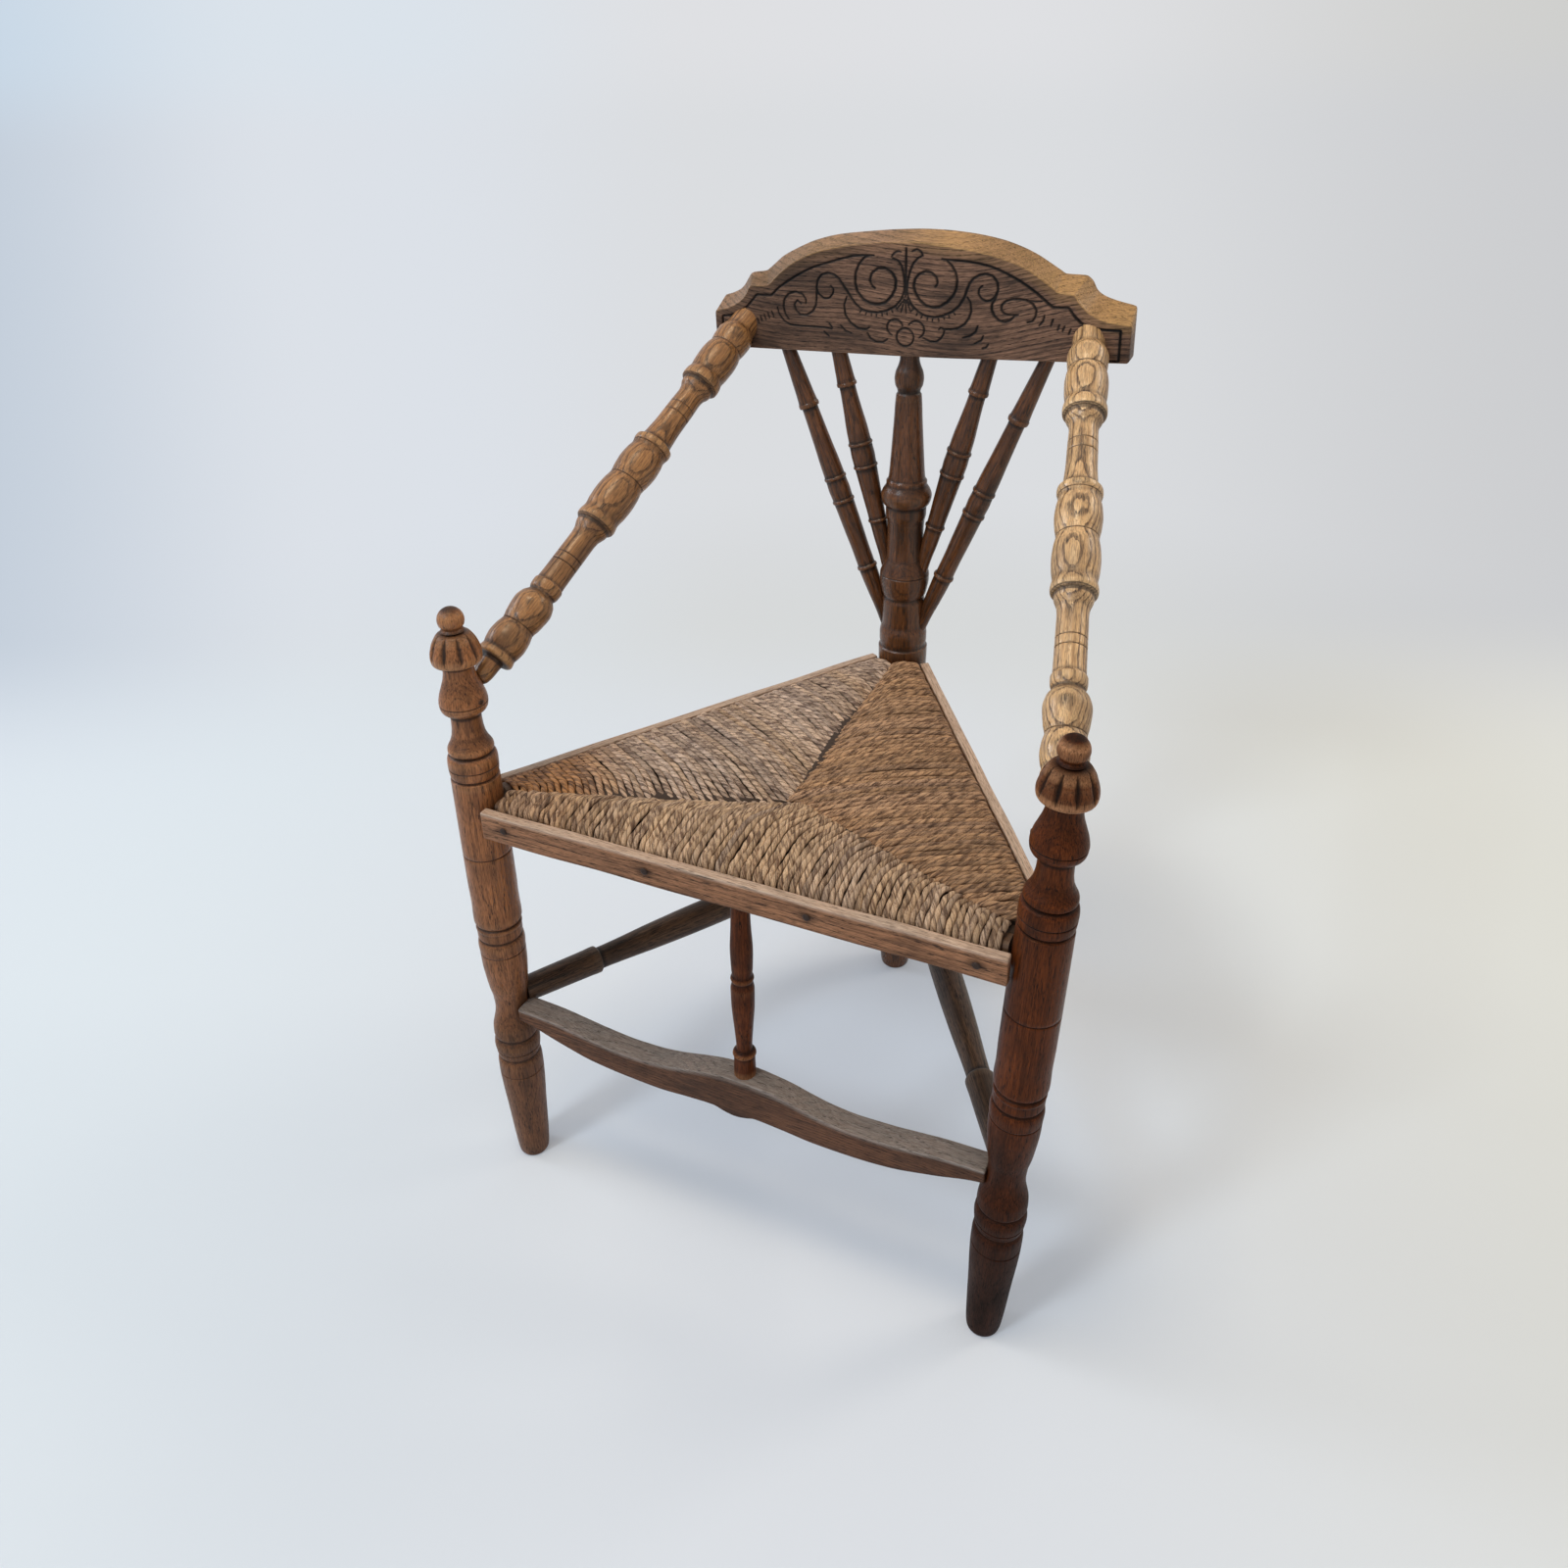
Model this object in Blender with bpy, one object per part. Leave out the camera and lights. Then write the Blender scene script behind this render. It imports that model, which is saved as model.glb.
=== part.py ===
# Three-post corner chair in oak with a rush seat: turned posts, a shaped and
# carved-outline crest rail, two long turned arms, four back spindles, turned side
# stretchers, a bow-shaped front stretcher with its little spindle, three seat rails
# wrapped by the rush pad, and three nailed edge strips.
# Metres, +Z up. The sitter looks along -Y. It is laid out from the front feet's line,
# and its parent then brings the middle of its width and depth to the origin.

import math

import bpy
import numpy as np
from mathutils import Matrix, Vector

# Whole chair
SEAT_RAIL_HEIGHT = 0.400        # floor to the middle of the seat rails
FRONT_FOOT_SPREAD = 0.2323      # half the distance between the front feet's centres
FRONT_FOOT_SHIFT = -0.0037      # the two feet's middle, to the right of the layout's middle
FRONT_TOP_SPREAD = 0.2560       # both again at the finials
FRONT_TOP_SHIFT = 0.0015
FRONT_TOP_SET_BACK = 0.012      # the front posts lean back by this at the top
FRONT_POST_HEIGHT = 0.587
BACK_POST_SET_BACK = 0.4035     # front feet to the back post
BACK_POST_SHIFT = -0.0025
BACK_POST_HEIGHT = 0.727        # floor to the crest's underside
FIT_GAP = 0.0003                # clearance between touching pieces
CUT_OVERRUN = 0.004             # how far a cutter runs past what it cuts
STEEP_COSINE = math.cos(math.radians(8))    # an axis steeper than this counts as upright
SHARP_ANGLE = math.radians(40)              # edges sharper than this stay crisp
TURNING_SIDES = 14
ARM_SIDES = 12
SLENDER_SIDES = 8

# Posts
POST_RADIUS = 0.0216
BACK_LOWER_RADIUS = 0.0236      # of the back post below the seat
BACK_POST_RADIUS = 0.0250       # and above it
FINIAL_BALL_RADIUS = 0.0112
CREST_TENON_RADIUS = 0.0082     # on top of the back post
CREST_TENON_LENGTH = 0.026

# Heights up to the seat rail, and radii, from the floor
lower_turning_shares = (
    (0.000, 0.66), (0.030, 0.72), (0.150, 0.86), (0.230, 0.945), (0.2625, 0.97),
    (0.300, 0.97), (0.316, 0.94), (0.3225, 0.87), (0.330, 0.94), (0.3725, 0.98),
    (0.398, 0.93), (0.418, 0.84), (0.440, 0.75), (0.458, 0.72), (0.485, 0.745),
    (0.515, 0.83), (0.550, 0.91), (0.585, 0.955), (0.650, 0.97), (0.662, 0.90),
    (0.681, 0.89), (0.688, 0.98), (0.705, 1.00), (0.850, 1.01), (1.000, 1.00),
)
# Heights from the seat rail up to the finial, and radii
front_upper_shares = (
    (0.155, 0.985), (0.163, 0.94), (0.174, 1.01), (0.210, 1.035), (0.255, 1.01),
    (0.287, 0.86), (0.300, 0.91), (0.316, 0.91), (0.342, 0.80), (0.380, 0.66),
    (0.420, 0.60), (0.4545, 0.585), (0.463, 0.76), (0.481, 0.87), (0.508, 0.93),
    (0.539, 0.95), (0.5775, 0.90), (0.620, 0.775), (0.663, 0.64), (0.7005, 0.59),
    (0.7337, 0.60), (0.736, 0.80), (0.744, 0.91), (0.775, 0.985), (0.813, 0.965),
    (0.850, 0.84), (0.877, 0.66), (0.892, 0.42),
)
finial_ball_angle_shares = (-0.62, -0.36, 0.0, 0.36, 0.66, 0.88)  # of a right angle
# Heights from the seat rail up to the crest, and radii, on the back post
back_upper_shares = (
    (0.067, 1.00), (0.073, 0.95), (0.092, 0.965), (0.125, 0.95), (0.144, 0.875),
    (0.153, 0.865), (0.223, 0.855), (0.240, 0.82), (0.251, 0.88), (0.271, 0.94),
    (0.305, 0.99), (0.339, 0.90), (0.370, 0.745), (0.440, 0.72), (0.489, 0.74),
    (0.538, 0.80), (0.546, 0.90), (0.572, 1.00), (0.590, 0.93), (0.6085, 0.80),
    (0.618, 0.80), (0.642, 0.70), (0.688, 0.655), (0.882, 0.485), (0.890, 0.45),
    (0.907, 0.505), (0.928, 0.52), (0.948, 0.48), (0.982, 0.385), (1.000, 0.36),
)

# Arms, from a front post up to the crest's front face
ARM_RADIUS = 0.0189             # at the large beads
ARM_JOINT_SHARE = 0.5455        # of the post above the seat rail
ARM_TENON_RADIUS = 0.0056       # in the post
ARM_CREST_TENON_RADIUS = 0.0072
ARM_CREST_TENON_DEPTH = 0.016   # along the arm, inside the crest
ARM_CREST_SPREAD = 0.1660       # half the distance between the arms' centres there
ARM_CREST_SHIFT = -0.0033       # their middle, to the right of the crest's middle
ARM_CREST_RISE = 0.0205         # crest's underside to the arm's centre
arm_turning_shares = (
    (0.060, 0.46), (0.097, 0.52), (0.101, 0.82), (0.109, 0.84), (0.112, 0.72), (0.126, 0.88),
    (0.149, 0.975), (0.170, 0.90), (0.180, 0.80), (0.191, 0.90), (0.218, 0.975),
    (0.241, 0.89), (0.250, 0.76), (0.260, 0.765), (0.312, 0.69), (0.351, 0.655),
    (0.395, 0.655), (0.422, 0.71), (0.439, 0.89), (0.447, 0.98), (0.456, 0.975),
    (0.464, 0.87), (0.487, 0.975), (0.510, 1.02), (0.540, 0.96), (0.556, 0.86),
    (0.573, 0.96), (0.601, 1.01), (0.631, 0.94), (0.642, 0.86), (0.647, 0.97),
    (0.655, 0.97), (0.664, 0.80), (0.694, 0.70), (0.748, 0.665), (0.802, 0.70),
    (0.826, 0.82), (0.836, 0.96), (0.847, 0.96), (0.855, 0.84), (0.877, 0.96),
    (0.902, 0.98), (0.925, 0.93), (0.935, 0.83), (0.947, 0.92), (0.970, 0.945),
    (0.988, 0.89),
)
ARM_END_OVERRUN_SHARE = 0.035   # of the arm's length, before its end is cut to the face

# Crest rail
CREST_THICKNESS = 0.027
CREST_HALF_LENGTH = 0.1985
CREST_END_HEIGHT = 0.0370
CREST_STEP_HEIGHT = 0.0618
CREST_MID_HEIGHT = 0.1035
CREST_BACK_RISE = 0.0095        # the top edge falls by this from back to front
CREST_BACK_SPREAD = 0.0065      # the back face's shoulders are wider by this at each side
CREST_OFFSET = 0.002
CREST_TURN = 0.050              # radians in plan
CREST_TILT = 0.018              # radians along its length
CREST_BOW_POINTS = 14
CREST_BOW_POWER = 2.7           # 2 would be a parabola; more makes fuller shoulders
# Right half of the outline's cove, as shares of the half length and of the rise
# from the end's height to the step's height
crest_cove_shares = ((0.935, 0.08), (0.866, 0.34), (0.820, 0.64), (0.800, 0.90), (0.776, 1.0))
CREST_STEP_SHARE = 0.695        # of the half length, where the bow begins

# Back spindles: where each enters the back post, and where it enters the crest
SPINDLE_RADIUS = 0.0116
SPINDLE_CREST_SHIFT = -0.0018    # the spindles' middle, to the right of the crest's middle
SPINDLE_TENON_LENGTH = 0.016
spindle_place_shares = {
    # name: share of the back post above the seat rail, share of the post's radius there,
    # share of the crest's half length
    "outer": (0.166, 0.855, 0.636),
    "inner": (0.362, 0.800, 0.371),
}
spindle_turning_shares = (
    (0.000, 0.60), (0.100, 0.76), (0.168, 0.84), (0.176, 0.92), (0.186, 0.92),
    (0.194, 0.80), (0.300, 0.93), (0.420, 0.96), (0.436, 1.05), (0.446, 0.93),
    (0.480, 1.00), (0.520, 0.93), (0.530, 1.05), (0.544, 0.96), (0.610, 0.99),
    (0.780, 0.74), (0.792, 0.90), (0.808, 0.93), (0.818, 0.84), (1.000, 0.58),
)

# Front stretcher
BOW_HEIGHT = 0.1795             # middle of its ends
BOW_THICKNESS = 0.022
BOW_TENON_HEIGHT = 0.0080
BOW_TENON_WIDTH = 0.013
BOW_TENON_DEPTH = 0.0095
BOW_TENON_DROP = 0.0030         # the tenon sits below the middle of the end
BOW_SAG = 0.0185                # depth of the under curve
# share of the half length: top edge, bottom edge as shares of the sag below BOW_HEIGHT
bow_edge_shares = (
    (1.000, 0.39, -0.39), (0.860, 0.32, -0.86), (0.680, 0.05, -1.38), (0.480, -0.13, -1.62),
    (0.320, 0.09, -1.62), (0.200, 0.44, -1.50), (0.110, 0.60, -1.44), (0.045, 0.64, -1.48),
    (0.000, 0.65, -1.64),
)

# Side stretchers
STRETCHER_RISE = 0.0105          # above the front stretcher's ends, at the front posts
STRETCHER_BACK_STAGGER = 0.0066 # one lower, one higher at the back post
STRETCHER_RADIUS = 0.0137
STRETCHER_TENON_RADIUS = 0.0045
STRETCHER_TENON_DEPTH = 0.0095
stretcher_turning_shares = (
    (0.150, 0.92), (0.186, 0.96), (0.194, 0.96), (0.199, 0.80), (0.230, 0.84),
    (0.380, 1.00), (0.500, 1.02), (0.620, 1.00), (0.770, 0.84), (0.801, 0.80),
    (0.806, 0.96), (0.814, 0.96), (0.850, 0.92),
)
STRETCHER_END_SHARE = 0.77      # radius at both ends

# Front spindle between the bow stretcher and the front seat rail
STAY_RADIUS = 0.0102
STAY_OFFSET = 0.004
STAY_TENON_RADIUS = 0.0050
STAY_TENON_DEPTH = 0.008
stay_turning_shares = (
    (0.000, 0.94), (0.125, 0.88), (0.132, 1.00), (0.145, 1.00), (0.152, 0.70),
    (0.260, 0.78), (0.400, 0.98), (0.480, 1.00), (0.520, 0.88), (0.530, 0.99),
    (0.545, 0.99), (0.555, 0.86), (0.680, 0.94), (0.850, 0.80), (1.000, 0.76),
)

# Seat rails, rush pad and edge strips
RAIL_HALF_WIDTH = 0.0085
RAIL_HALF_HEIGHT = 0.0100
RAIL_TENON_RADIUS = 0.0048
RAIL_TENON_STAGGER = 0.0052     # tenons that share a post sit above and below the middle
RAIL_TENON_DEPTH = 0.011
RAIL_SHOULDER_GAP = 0.0008
RUSH_THICKNESS = 0.0050         # outside the rail's side
RUSH_COVER = 0.0060             # over and under the rail
RUSH_CROWN = 0.0050
RUSH_VALLEY = 0.0035            # dip along the lines where the sectors meet
RUSH_CORNER_START = 0.012       # along a rail from the post's axis
RUSH_MEETING_SET_BACK = 0.106   # where the three sectors meet
RUSH_MEETING_OFFSET = 0.004
RUSH_CELLS_ALONG = 8
roll_turn_shares = (0.22, 0.40, 0.50, 0.60, 0.78)    # round the edge, of half a turn
RUSH_CELLS_IN = 5
STRIP_THICKNESS = 0.0087
STRIP_HEIGHT = 0.0250
STRIP_DROP = 0.0035             # the strip's middle below the rail's middle
STRIP_END_GAP = 0.0010
STRIP_CHAMFER = 0.0012

# Nails and pegs
NAIL_RADIUS = 0.0012
NAIL_HEAD_RADIUS = 0.0030
NAIL_HEAD_HEIGHT = 0.0012
NAIL_DEPTH = 0.009              # into the rail
NAIL_SIDES = 8
front_nail_shares = (0.05, 0.35, 0.66, 0.95)
side_nail_shares = (0.08, 0.50, 0.92)
PEG_RADIUS = 0.0028
PEG_DEPTH_SHARE = 0.62          # of the post's radius at the arm

OAK_LIGHT = (0.42, 0.26, 0.12, 1.0)
OAK_MID = (0.25, 0.135, 0.065, 1.0)
OAK_DARK = (0.12, 0.062, 0.035, 1.0)
OAK_GREY = (0.20, 0.135, 0.095, 1.0)
RUSH_TAN = (0.38, 0.27, 0.16, 1.0)
IRON_DARK = (0.05, 0.035, 0.03, 1.0)


def material(name, colour, roughness, metallic=0.0):
    made = bpy.data.materials.get(name)
    if made is None:
        made = bpy.data.materials.new(name)
        made.use_nodes = True
        shader = made.node_tree.nodes["Principled BSDF"]
        shader.inputs["Base Color"].default_value = colour
        shader.inputs["Roughness"].default_value = roughness
        shader.inputs["Metallic"].default_value = metallic
    return made


def make_object(name, points, faces, finish=None):
    """A mesh object from points and faces, shaded smooth except at sharp edges."""
    mesh = bpy.data.meshes.new(name)
    mesh.from_pydata([tuple(point) for point in points], [], faces)
    mesh.update()
    mesh.shade_smooth()
    mesh.set_sharp_from_angle(angle=SHARP_ANGLE)
    made = bpy.data.objects.new(name, mesh)
    bpy.context.scene.collection.objects.link(made)
    if finish is None:
        made.hide_render = True
        made.display_type = "WIRE"
    else:
        mesh.materials.append(finish)
    made.parent = chair_origin
    return made


def loft(name, rings, finish=None, tips=None):
    """A closed body through rings of as many points each. Its ends are flat faces, or
    fans round the two tips."""
    sides = len(rings[0])
    points = [point for ring in rings for point in ring]
    last = (len(rings) - 1) * sides
    faces = []
    if tips is None:
        faces.append(tuple(reversed(range(sides))))
        faces.append(tuple(range(last, last + sides)))
    for row in range(len(rings) - 1):
        for side in range(sides):
            after = (side + 1) % sides
            low = row * sides
            faces.append((low + side, low + after, low + sides + after, low + sides + side))
    if tips is not None:
        first_tip = len(points)
        points += list(tips)
        for side in range(sides):
            after = (side + 1) % sides
            faces.append((after, side, first_tip))
            faces.append((last + side, last + after, first_tip + 1))
    return make_object(name, points, faces, finish)


def cross_frame(axis, upward=Vector((0.0, 0.0, 1.0))):
    """Two directions square to an axis; the second lies nearest to upward."""
    axis = axis.normalized()
    if abs(axis.dot(upward)) > STEEP_COSINE:
        upward = Vector((0.0, 1.0, 0.0))
    across = upward.cross(axis).normalized()
    return across, axis.cross(across)


def circle(centre, across, up, radius, sides):
    turn = math.tau / sides
    return [centre + across * radius * math.cos(turn * k) + up * radius * math.sin(turn * k)
            for k in range(sides)]


def turned(name, start, end, profile, finish=None, sides=TURNING_SIDES, grow=0.0):
    """A turning from start towards end; the profile lists (distance, radius)."""
    axis = (end - start).normalized()
    across, up = cross_frame(axis)
    rings = [circle(start + axis * along, across, up, radius + grow, sides)
             for along, radius in profile]
    return loft(name, rings, finish)


def rod(name, start, end, radius, finish=None, sides=TURNING_SIDES):
    return turned(name, start, end, ((0.0, radius), ((end - start).length, radius)), finish, sides)


def box(name, centre, across, up, along, half_sizes, finish=None, chamfer=0.0):
    """A bar along its third direction, with its four long edges chamfered if asked."""
    half_across, half_up, half_along = half_sizes
    if chamfer:
        inner_a, inner_u = half_across - chamfer, half_up - chamfer
        outline = [(half_across, -inner_u), (half_across, inner_u), (inner_a, half_up),
                   (-inner_a, half_up), (-half_across, inner_u), (-half_across, -inner_u),
                   (-inner_a, -half_up), (inner_a, -half_up)]
    else:
        outline = [(half_across, -half_up), (half_across, half_up),
                   (-half_across, half_up), (-half_across, -half_up)]
    rings = [[centre + across * a + up * u + along * reach for a, u in outline]
             for reach in (-half_along, half_along)]
    return loft(name, rings, finish)


def combine(target, other, operation="DIFFERENCE"):
    change = target.modifiers.new(operation.title() + " " + other.name, "BOOLEAN")
    change.operation = operation
    change.solver = "EXACT"
    change.object = other


def peg_hole(target, name, start, end, radius, sides=TURNING_SIDES):
    """A round mortise for a tenon from start to end, with its clearance all round."""
    direction = (end - start).normalized()
    combine(target, rod(name, start, end + direction * FIT_GAP, radius + FIT_GAP, None, sides))


def scaled(shares, length, radius, base=0.0):
    return [(base + share * length, part * radius) for share, part in shares]


def share_at(shares, place):
    """The radius share of a turning at one place along it."""
    return float(np.interp(place, [row[0] for row in shares], [row[1] for row in shares]))


def front_point(side, height):
    """A point on a front post's axis; side is -1 for the left post and 1 for the right."""
    rise = height / (FRONT_POST_HEIGHT - FINIAL_BALL_RADIUS)
    spread = FRONT_FOOT_SPREAD + (FRONT_TOP_SPREAD - FRONT_FOOT_SPREAD) * rise
    shift = FRONT_FOOT_SHIFT + (FRONT_TOP_SHIFT - FRONT_FOOT_SHIFT) * rise
    return Vector((shift + side * spread, FRONT_TOP_SET_BACK * rise, height))


def back_point(height):
    return Vector((BACK_POST_SHIFT, BACK_POST_SET_BACK, height))


crest_matrix = (Matrix.Translation((CREST_OFFSET, BACK_POST_SET_BACK, BACK_POST_HEIGHT))
                @ Matrix.Rotation(CREST_TURN, 4, "Z") @ Matrix.Rotation(-CREST_TILT, 4, "Y"))


def crest_point(along, depth, rise):
    """Along the crest from its middle, back from its middle plane, up from its underside."""
    return crest_matrix @ Vector((along, depth, rise))


def front_profile():
    upper = FRONT_POST_HEIGHT - SEAT_RAIL_HEIGHT
    profile = scaled(lower_turning_shares, SEAT_RAIL_HEIGHT, POST_RADIUS)
    profile += scaled(front_upper_shares, upper, POST_RADIUS, SEAT_RAIL_HEIGHT)
    centre = FRONT_POST_HEIGHT - FINIAL_BALL_RADIUS
    for share in finial_ball_angle_shares:
        angle = share * math.pi / 2
        profile.append((centre + FINIAL_BALL_RADIUS * math.sin(angle),
                        FINIAL_BALL_RADIUS * math.cos(angle)))
    return profile


def back_profile():
    upper = BACK_POST_HEIGHT - SEAT_RAIL_HEIGHT
    profile = scaled(lower_turning_shares, SEAT_RAIL_HEIGHT, BACK_LOWER_RADIUS)[:-1]
    profile.append((SEAT_RAIL_HEIGHT, BACK_POST_RADIUS))
    profile += scaled(back_upper_shares, upper, BACK_POST_RADIUS, SEAT_RAIL_HEIGHT)
    return profile


def post_radius_at(height):
    return POST_RADIUS * share_at(lower_turning_shares, height / SEAT_RAIL_HEIGHT)


def level_foot(post_object):
    """Slides a leaning post's lowest ring along the axis until it lies on the floor."""
    mesh = post_object.data
    foot = mesh.vertices[0:TURNING_SIDES]
    top = mesh.vertices[TURNING_SIDES:2 * TURNING_SIDES]
    for low, high in zip(foot, top):
        direction = high.co - low.co
        low.co = low.co - direction * (low.co.z / direction.z)
    mesh.update()


def make_posts():
    posts = {}
    for side, name in ((-1, "left_post"), (1, "right_post")):
        start, end = front_point(side, 0.0), front_point(side, FRONT_POST_HEIGHT)
        posts[name] = turned(name, start, end, front_profile(), oak_mid)
        cutter = turned(name + "_clearance", start, end, front_profile(), None,
                        TURNING_SIDES, FIT_GAP)
        level_foot(posts[name])
        posts[name + "_clearance"] = cutter
    profile = back_profile()
    # the shoulder stays clear of the tilted crest, and the tenon goes on into it
    shoulder_radius = profile[-1][1]
    shoulder = BACK_POST_HEIGHT - FIT_GAP - crest_tilt_drop(shoulder_radius)
    profile[-1] = (shoulder, shoulder_radius)
    tenon = [(shoulder, CREST_TENON_RADIUS),
             (BACK_POST_HEIGHT + CREST_TENON_LENGTH, CREST_TENON_RADIUS)]
    posts["back_post"] = turned("back_post", back_point(0.0), back_point(BACK_POST_HEIGHT),
                                profile + tenon, oak_dark)
    posts["back_post_clearance"] = turned("back_post_clearance", back_point(0.0),
                                          back_point(BACK_POST_HEIGHT), profile, None,
                                          TURNING_SIDES, FIT_GAP)
    return posts


def crest_tilt_drop(radius):
    """How far the tilted crest's underside dips across a shoulder of this radius."""
    return math.tan(CREST_TILT) * (radius + CREST_OFFSET - BACK_POST_SHIFT)


def crest_outline():
    """The front face's outline, anticlockwise from its lower left corner."""
    rise = CREST_STEP_HEIGHT - CREST_END_HEIGHT
    cove = [(CREST_HALF_LENGTH * share, CREST_END_HEIGHT + rise * up)
            for share, up in crest_cove_shares]
    step_end = CREST_HALF_LENGTH * CREST_STEP_SHARE
    bow_rise = CREST_MID_HEIGHT - CREST_STEP_HEIGHT
    bow = []
    for k in range(CREST_BOW_POINTS + 1):
        angle = math.pi * k / CREST_BOW_POINTS
        along = math.cos(angle)
        fall = bow_rise * abs(along) ** CREST_BOW_POWER
        bow.append((step_end * along, CREST_MID_HEIGHT - fall))
    right = [(CREST_HALF_LENGTH, 0.0), (CREST_HALF_LENGTH, CREST_END_HEIGHT)] + cove
    left = [(-along, up) for along, up in reversed(right)]
    return [*right, *bow, *left]


def crest_back_outline():
    """The back face's: higher, and its shoulders wider, with the ends where they were."""
    outline = []
    for along, up in crest_outline():
        if up:
            free = min(CREST_BACK_SPREAD, CREST_HALF_LENGTH - abs(along))
            along += math.copysign(free * min(abs(along) / CREST_HALF_LENGTH, 1.0), along)
            up += CREST_BACK_RISE
        outline.append((along, up))
    return outline


def make_crest(posts):
    front = [crest_point(along, -CREST_THICKNESS / 2, up) for along, up in crest_outline()]
    back = [crest_point(along, CREST_THICKNESS / 2, up) for along, up in crest_back_outline()]
    crest = loft("crest_rail", [back, front], oak_grey)
    peg_hole(crest, "crest_post_mortise", back_point(BACK_POST_HEIGHT - CUT_OVERRUN),
             back_point(BACK_POST_HEIGHT + CREST_TENON_LENGTH), CREST_TENON_RADIUS)
    return crest


def make_arm(side, name, posts, crest):
    joint_height = (SEAT_RAIL_HEIGHT
                    + ARM_JOINT_SHARE * (FRONT_POST_HEIGHT - SEAT_RAIL_HEIGHT))
    start = front_point(side, joint_height)
    crest_place = ARM_CREST_SHIFT + side * ARM_CREST_SPREAD
    end = crest_point(crest_place, -CREST_THICKNESS / 2, ARM_CREST_RISE)
    length = (end - start).length
    axis = (end - start).normalized()
    profile = [(0.0, ARM_TENON_RADIUS), (POST_RADIUS, ARM_TENON_RADIUS)]
    profile += scaled(arm_turning_shares, length, ARM_RADIUS)
    profile.append((length * (1 + ARM_END_OVERRUN_SHARE), profile[-1][1]))
    arm = turned(name, start, end, profile, oak_light, ARM_SIDES)
    # the end is cut to the crest's face, then its tenon is added
    reach = CREST_THICKNESS + 2 * ARM_RADIUS
    face_cut = box(name + "_face_cut",
                   crest_point(crest_place, reach - CREST_THICKNESS / 2 - FIT_GAP,
                               ARM_CREST_RISE),
                   crest_matrix.to_3x3() @ Vector((1.0, 0.0, 0.0)),
                   crest_matrix.to_3x3() @ Vector((0.0, 0.0, 1.0)),
                   crest_matrix.to_3x3() @ Vector((0.0, -1.0, 0.0)),
                   (2 * reach, 2 * reach, reach))
    combine(arm, face_cut)
    tenon_end = end + axis * ARM_CREST_TENON_DEPTH
    tenon = rod(name + "_crest_tenon", end - axis * 2 * ARM_RADIUS, tenon_end,
                ARM_CREST_TENON_RADIUS)
    combine(arm, tenon, "UNION")
    peg_hole(crest, name + "_crest_mortise", end - axis * 2 * ARM_RADIUS, tenon_end,
             ARM_CREST_TENON_RADIUS)
    post = posts[("left" if side < 0 else "right") + "_post"]
    # the mortise is drilled a little past the post's axis
    mouth = start + axis * 2 * POST_RADIUS
    combine(post, rod(name + "_post_mortise", start - axis * FIT_GAP, mouth,
                      ARM_TENON_RADIUS + FIT_GAP, None, ARM_SIDES))
    return arm, start, axis, joint_height


def make_peg(side, arm, start, axis, joint_height, posts):
    """A dowel from the post's inner side through the arm's tenon."""
    name = ("left" if side < 0 else "right") + "_arm_peg"
    post = posts[("left" if side < 0 else "right") + "_post"]
    upper = FRONT_POST_HEIGHT - SEAT_RAIL_HEIGHT
    share = (joint_height - SEAT_RAIL_HEIGHT) / upper
    surface = POST_RADIUS * share_at(front_upper_shares, share)
    inward = Vector((-side, 0.0, 0.0))
    centre = start + axis * ARM_TENON_RADIUS
    outer = centre + inward * surface
    inner = centre - inward * surface * PEG_DEPTH_SHARE
    peg = rod(name, inner, outer, PEG_RADIUS, oak_dark, NAIL_SIDES)
    cut_end = outer + inward * CUT_OVERRUN
    for target, label in ((post, "post"), (arm, "tenon")):
        cutter = rod(name + "_hole_" + label, inner - inward * FIT_GAP, cut_end,
                     PEG_RADIUS + FIT_GAP, None, NAIL_SIDES)
        combine(target, cutter)
    return peg


def make_spindles(posts, crest):
    upper = BACK_POST_HEIGHT - SEAT_RAIL_HEIGHT
    for side, side_name in ((-1, "left"), (1, "right")):
        for place, (height_share, radius_share, crest_share) in spindle_place_shares.items():
            height = SEAT_RAIL_HEIGHT + height_share * upper
            entry = back_point(height) + Vector((side * radius_share * BACK_POST_RADIUS, 0.0, 0.0))
            top = crest_point(SPINDLE_CREST_SHIFT + side * crest_share * CREST_HALF_LENGTH,
                              0.0, 0.0)
            length = (top - entry).length
            profile = scaled(spindle_turning_shares, length, SPINDLE_RADIUS)
            foot_radius, head_radius = profile[0][1], profile[-1][1]
            profile = ([(-SPINDLE_TENON_LENGTH, foot_radius)] + profile
                       + [(length + SPINDLE_TENON_LENGTH, head_radius)])
            name = side_name + "_" + place + "_spindle"
            turned(name, entry, top, profile, oak_dark, SLENDER_SIDES)
            profile[0] = (profile[0][0] - FIT_GAP, foot_radius)
            profile[-1] = (profile[-1][0] + FIT_GAP, head_radius)
            clearance = turned(name + "_clearance", entry, top, profile, None,
                               SLENDER_SIDES, FIT_GAP)
            combine(posts["back_post"], clearance)
            combine(crest, clearance)


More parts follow.
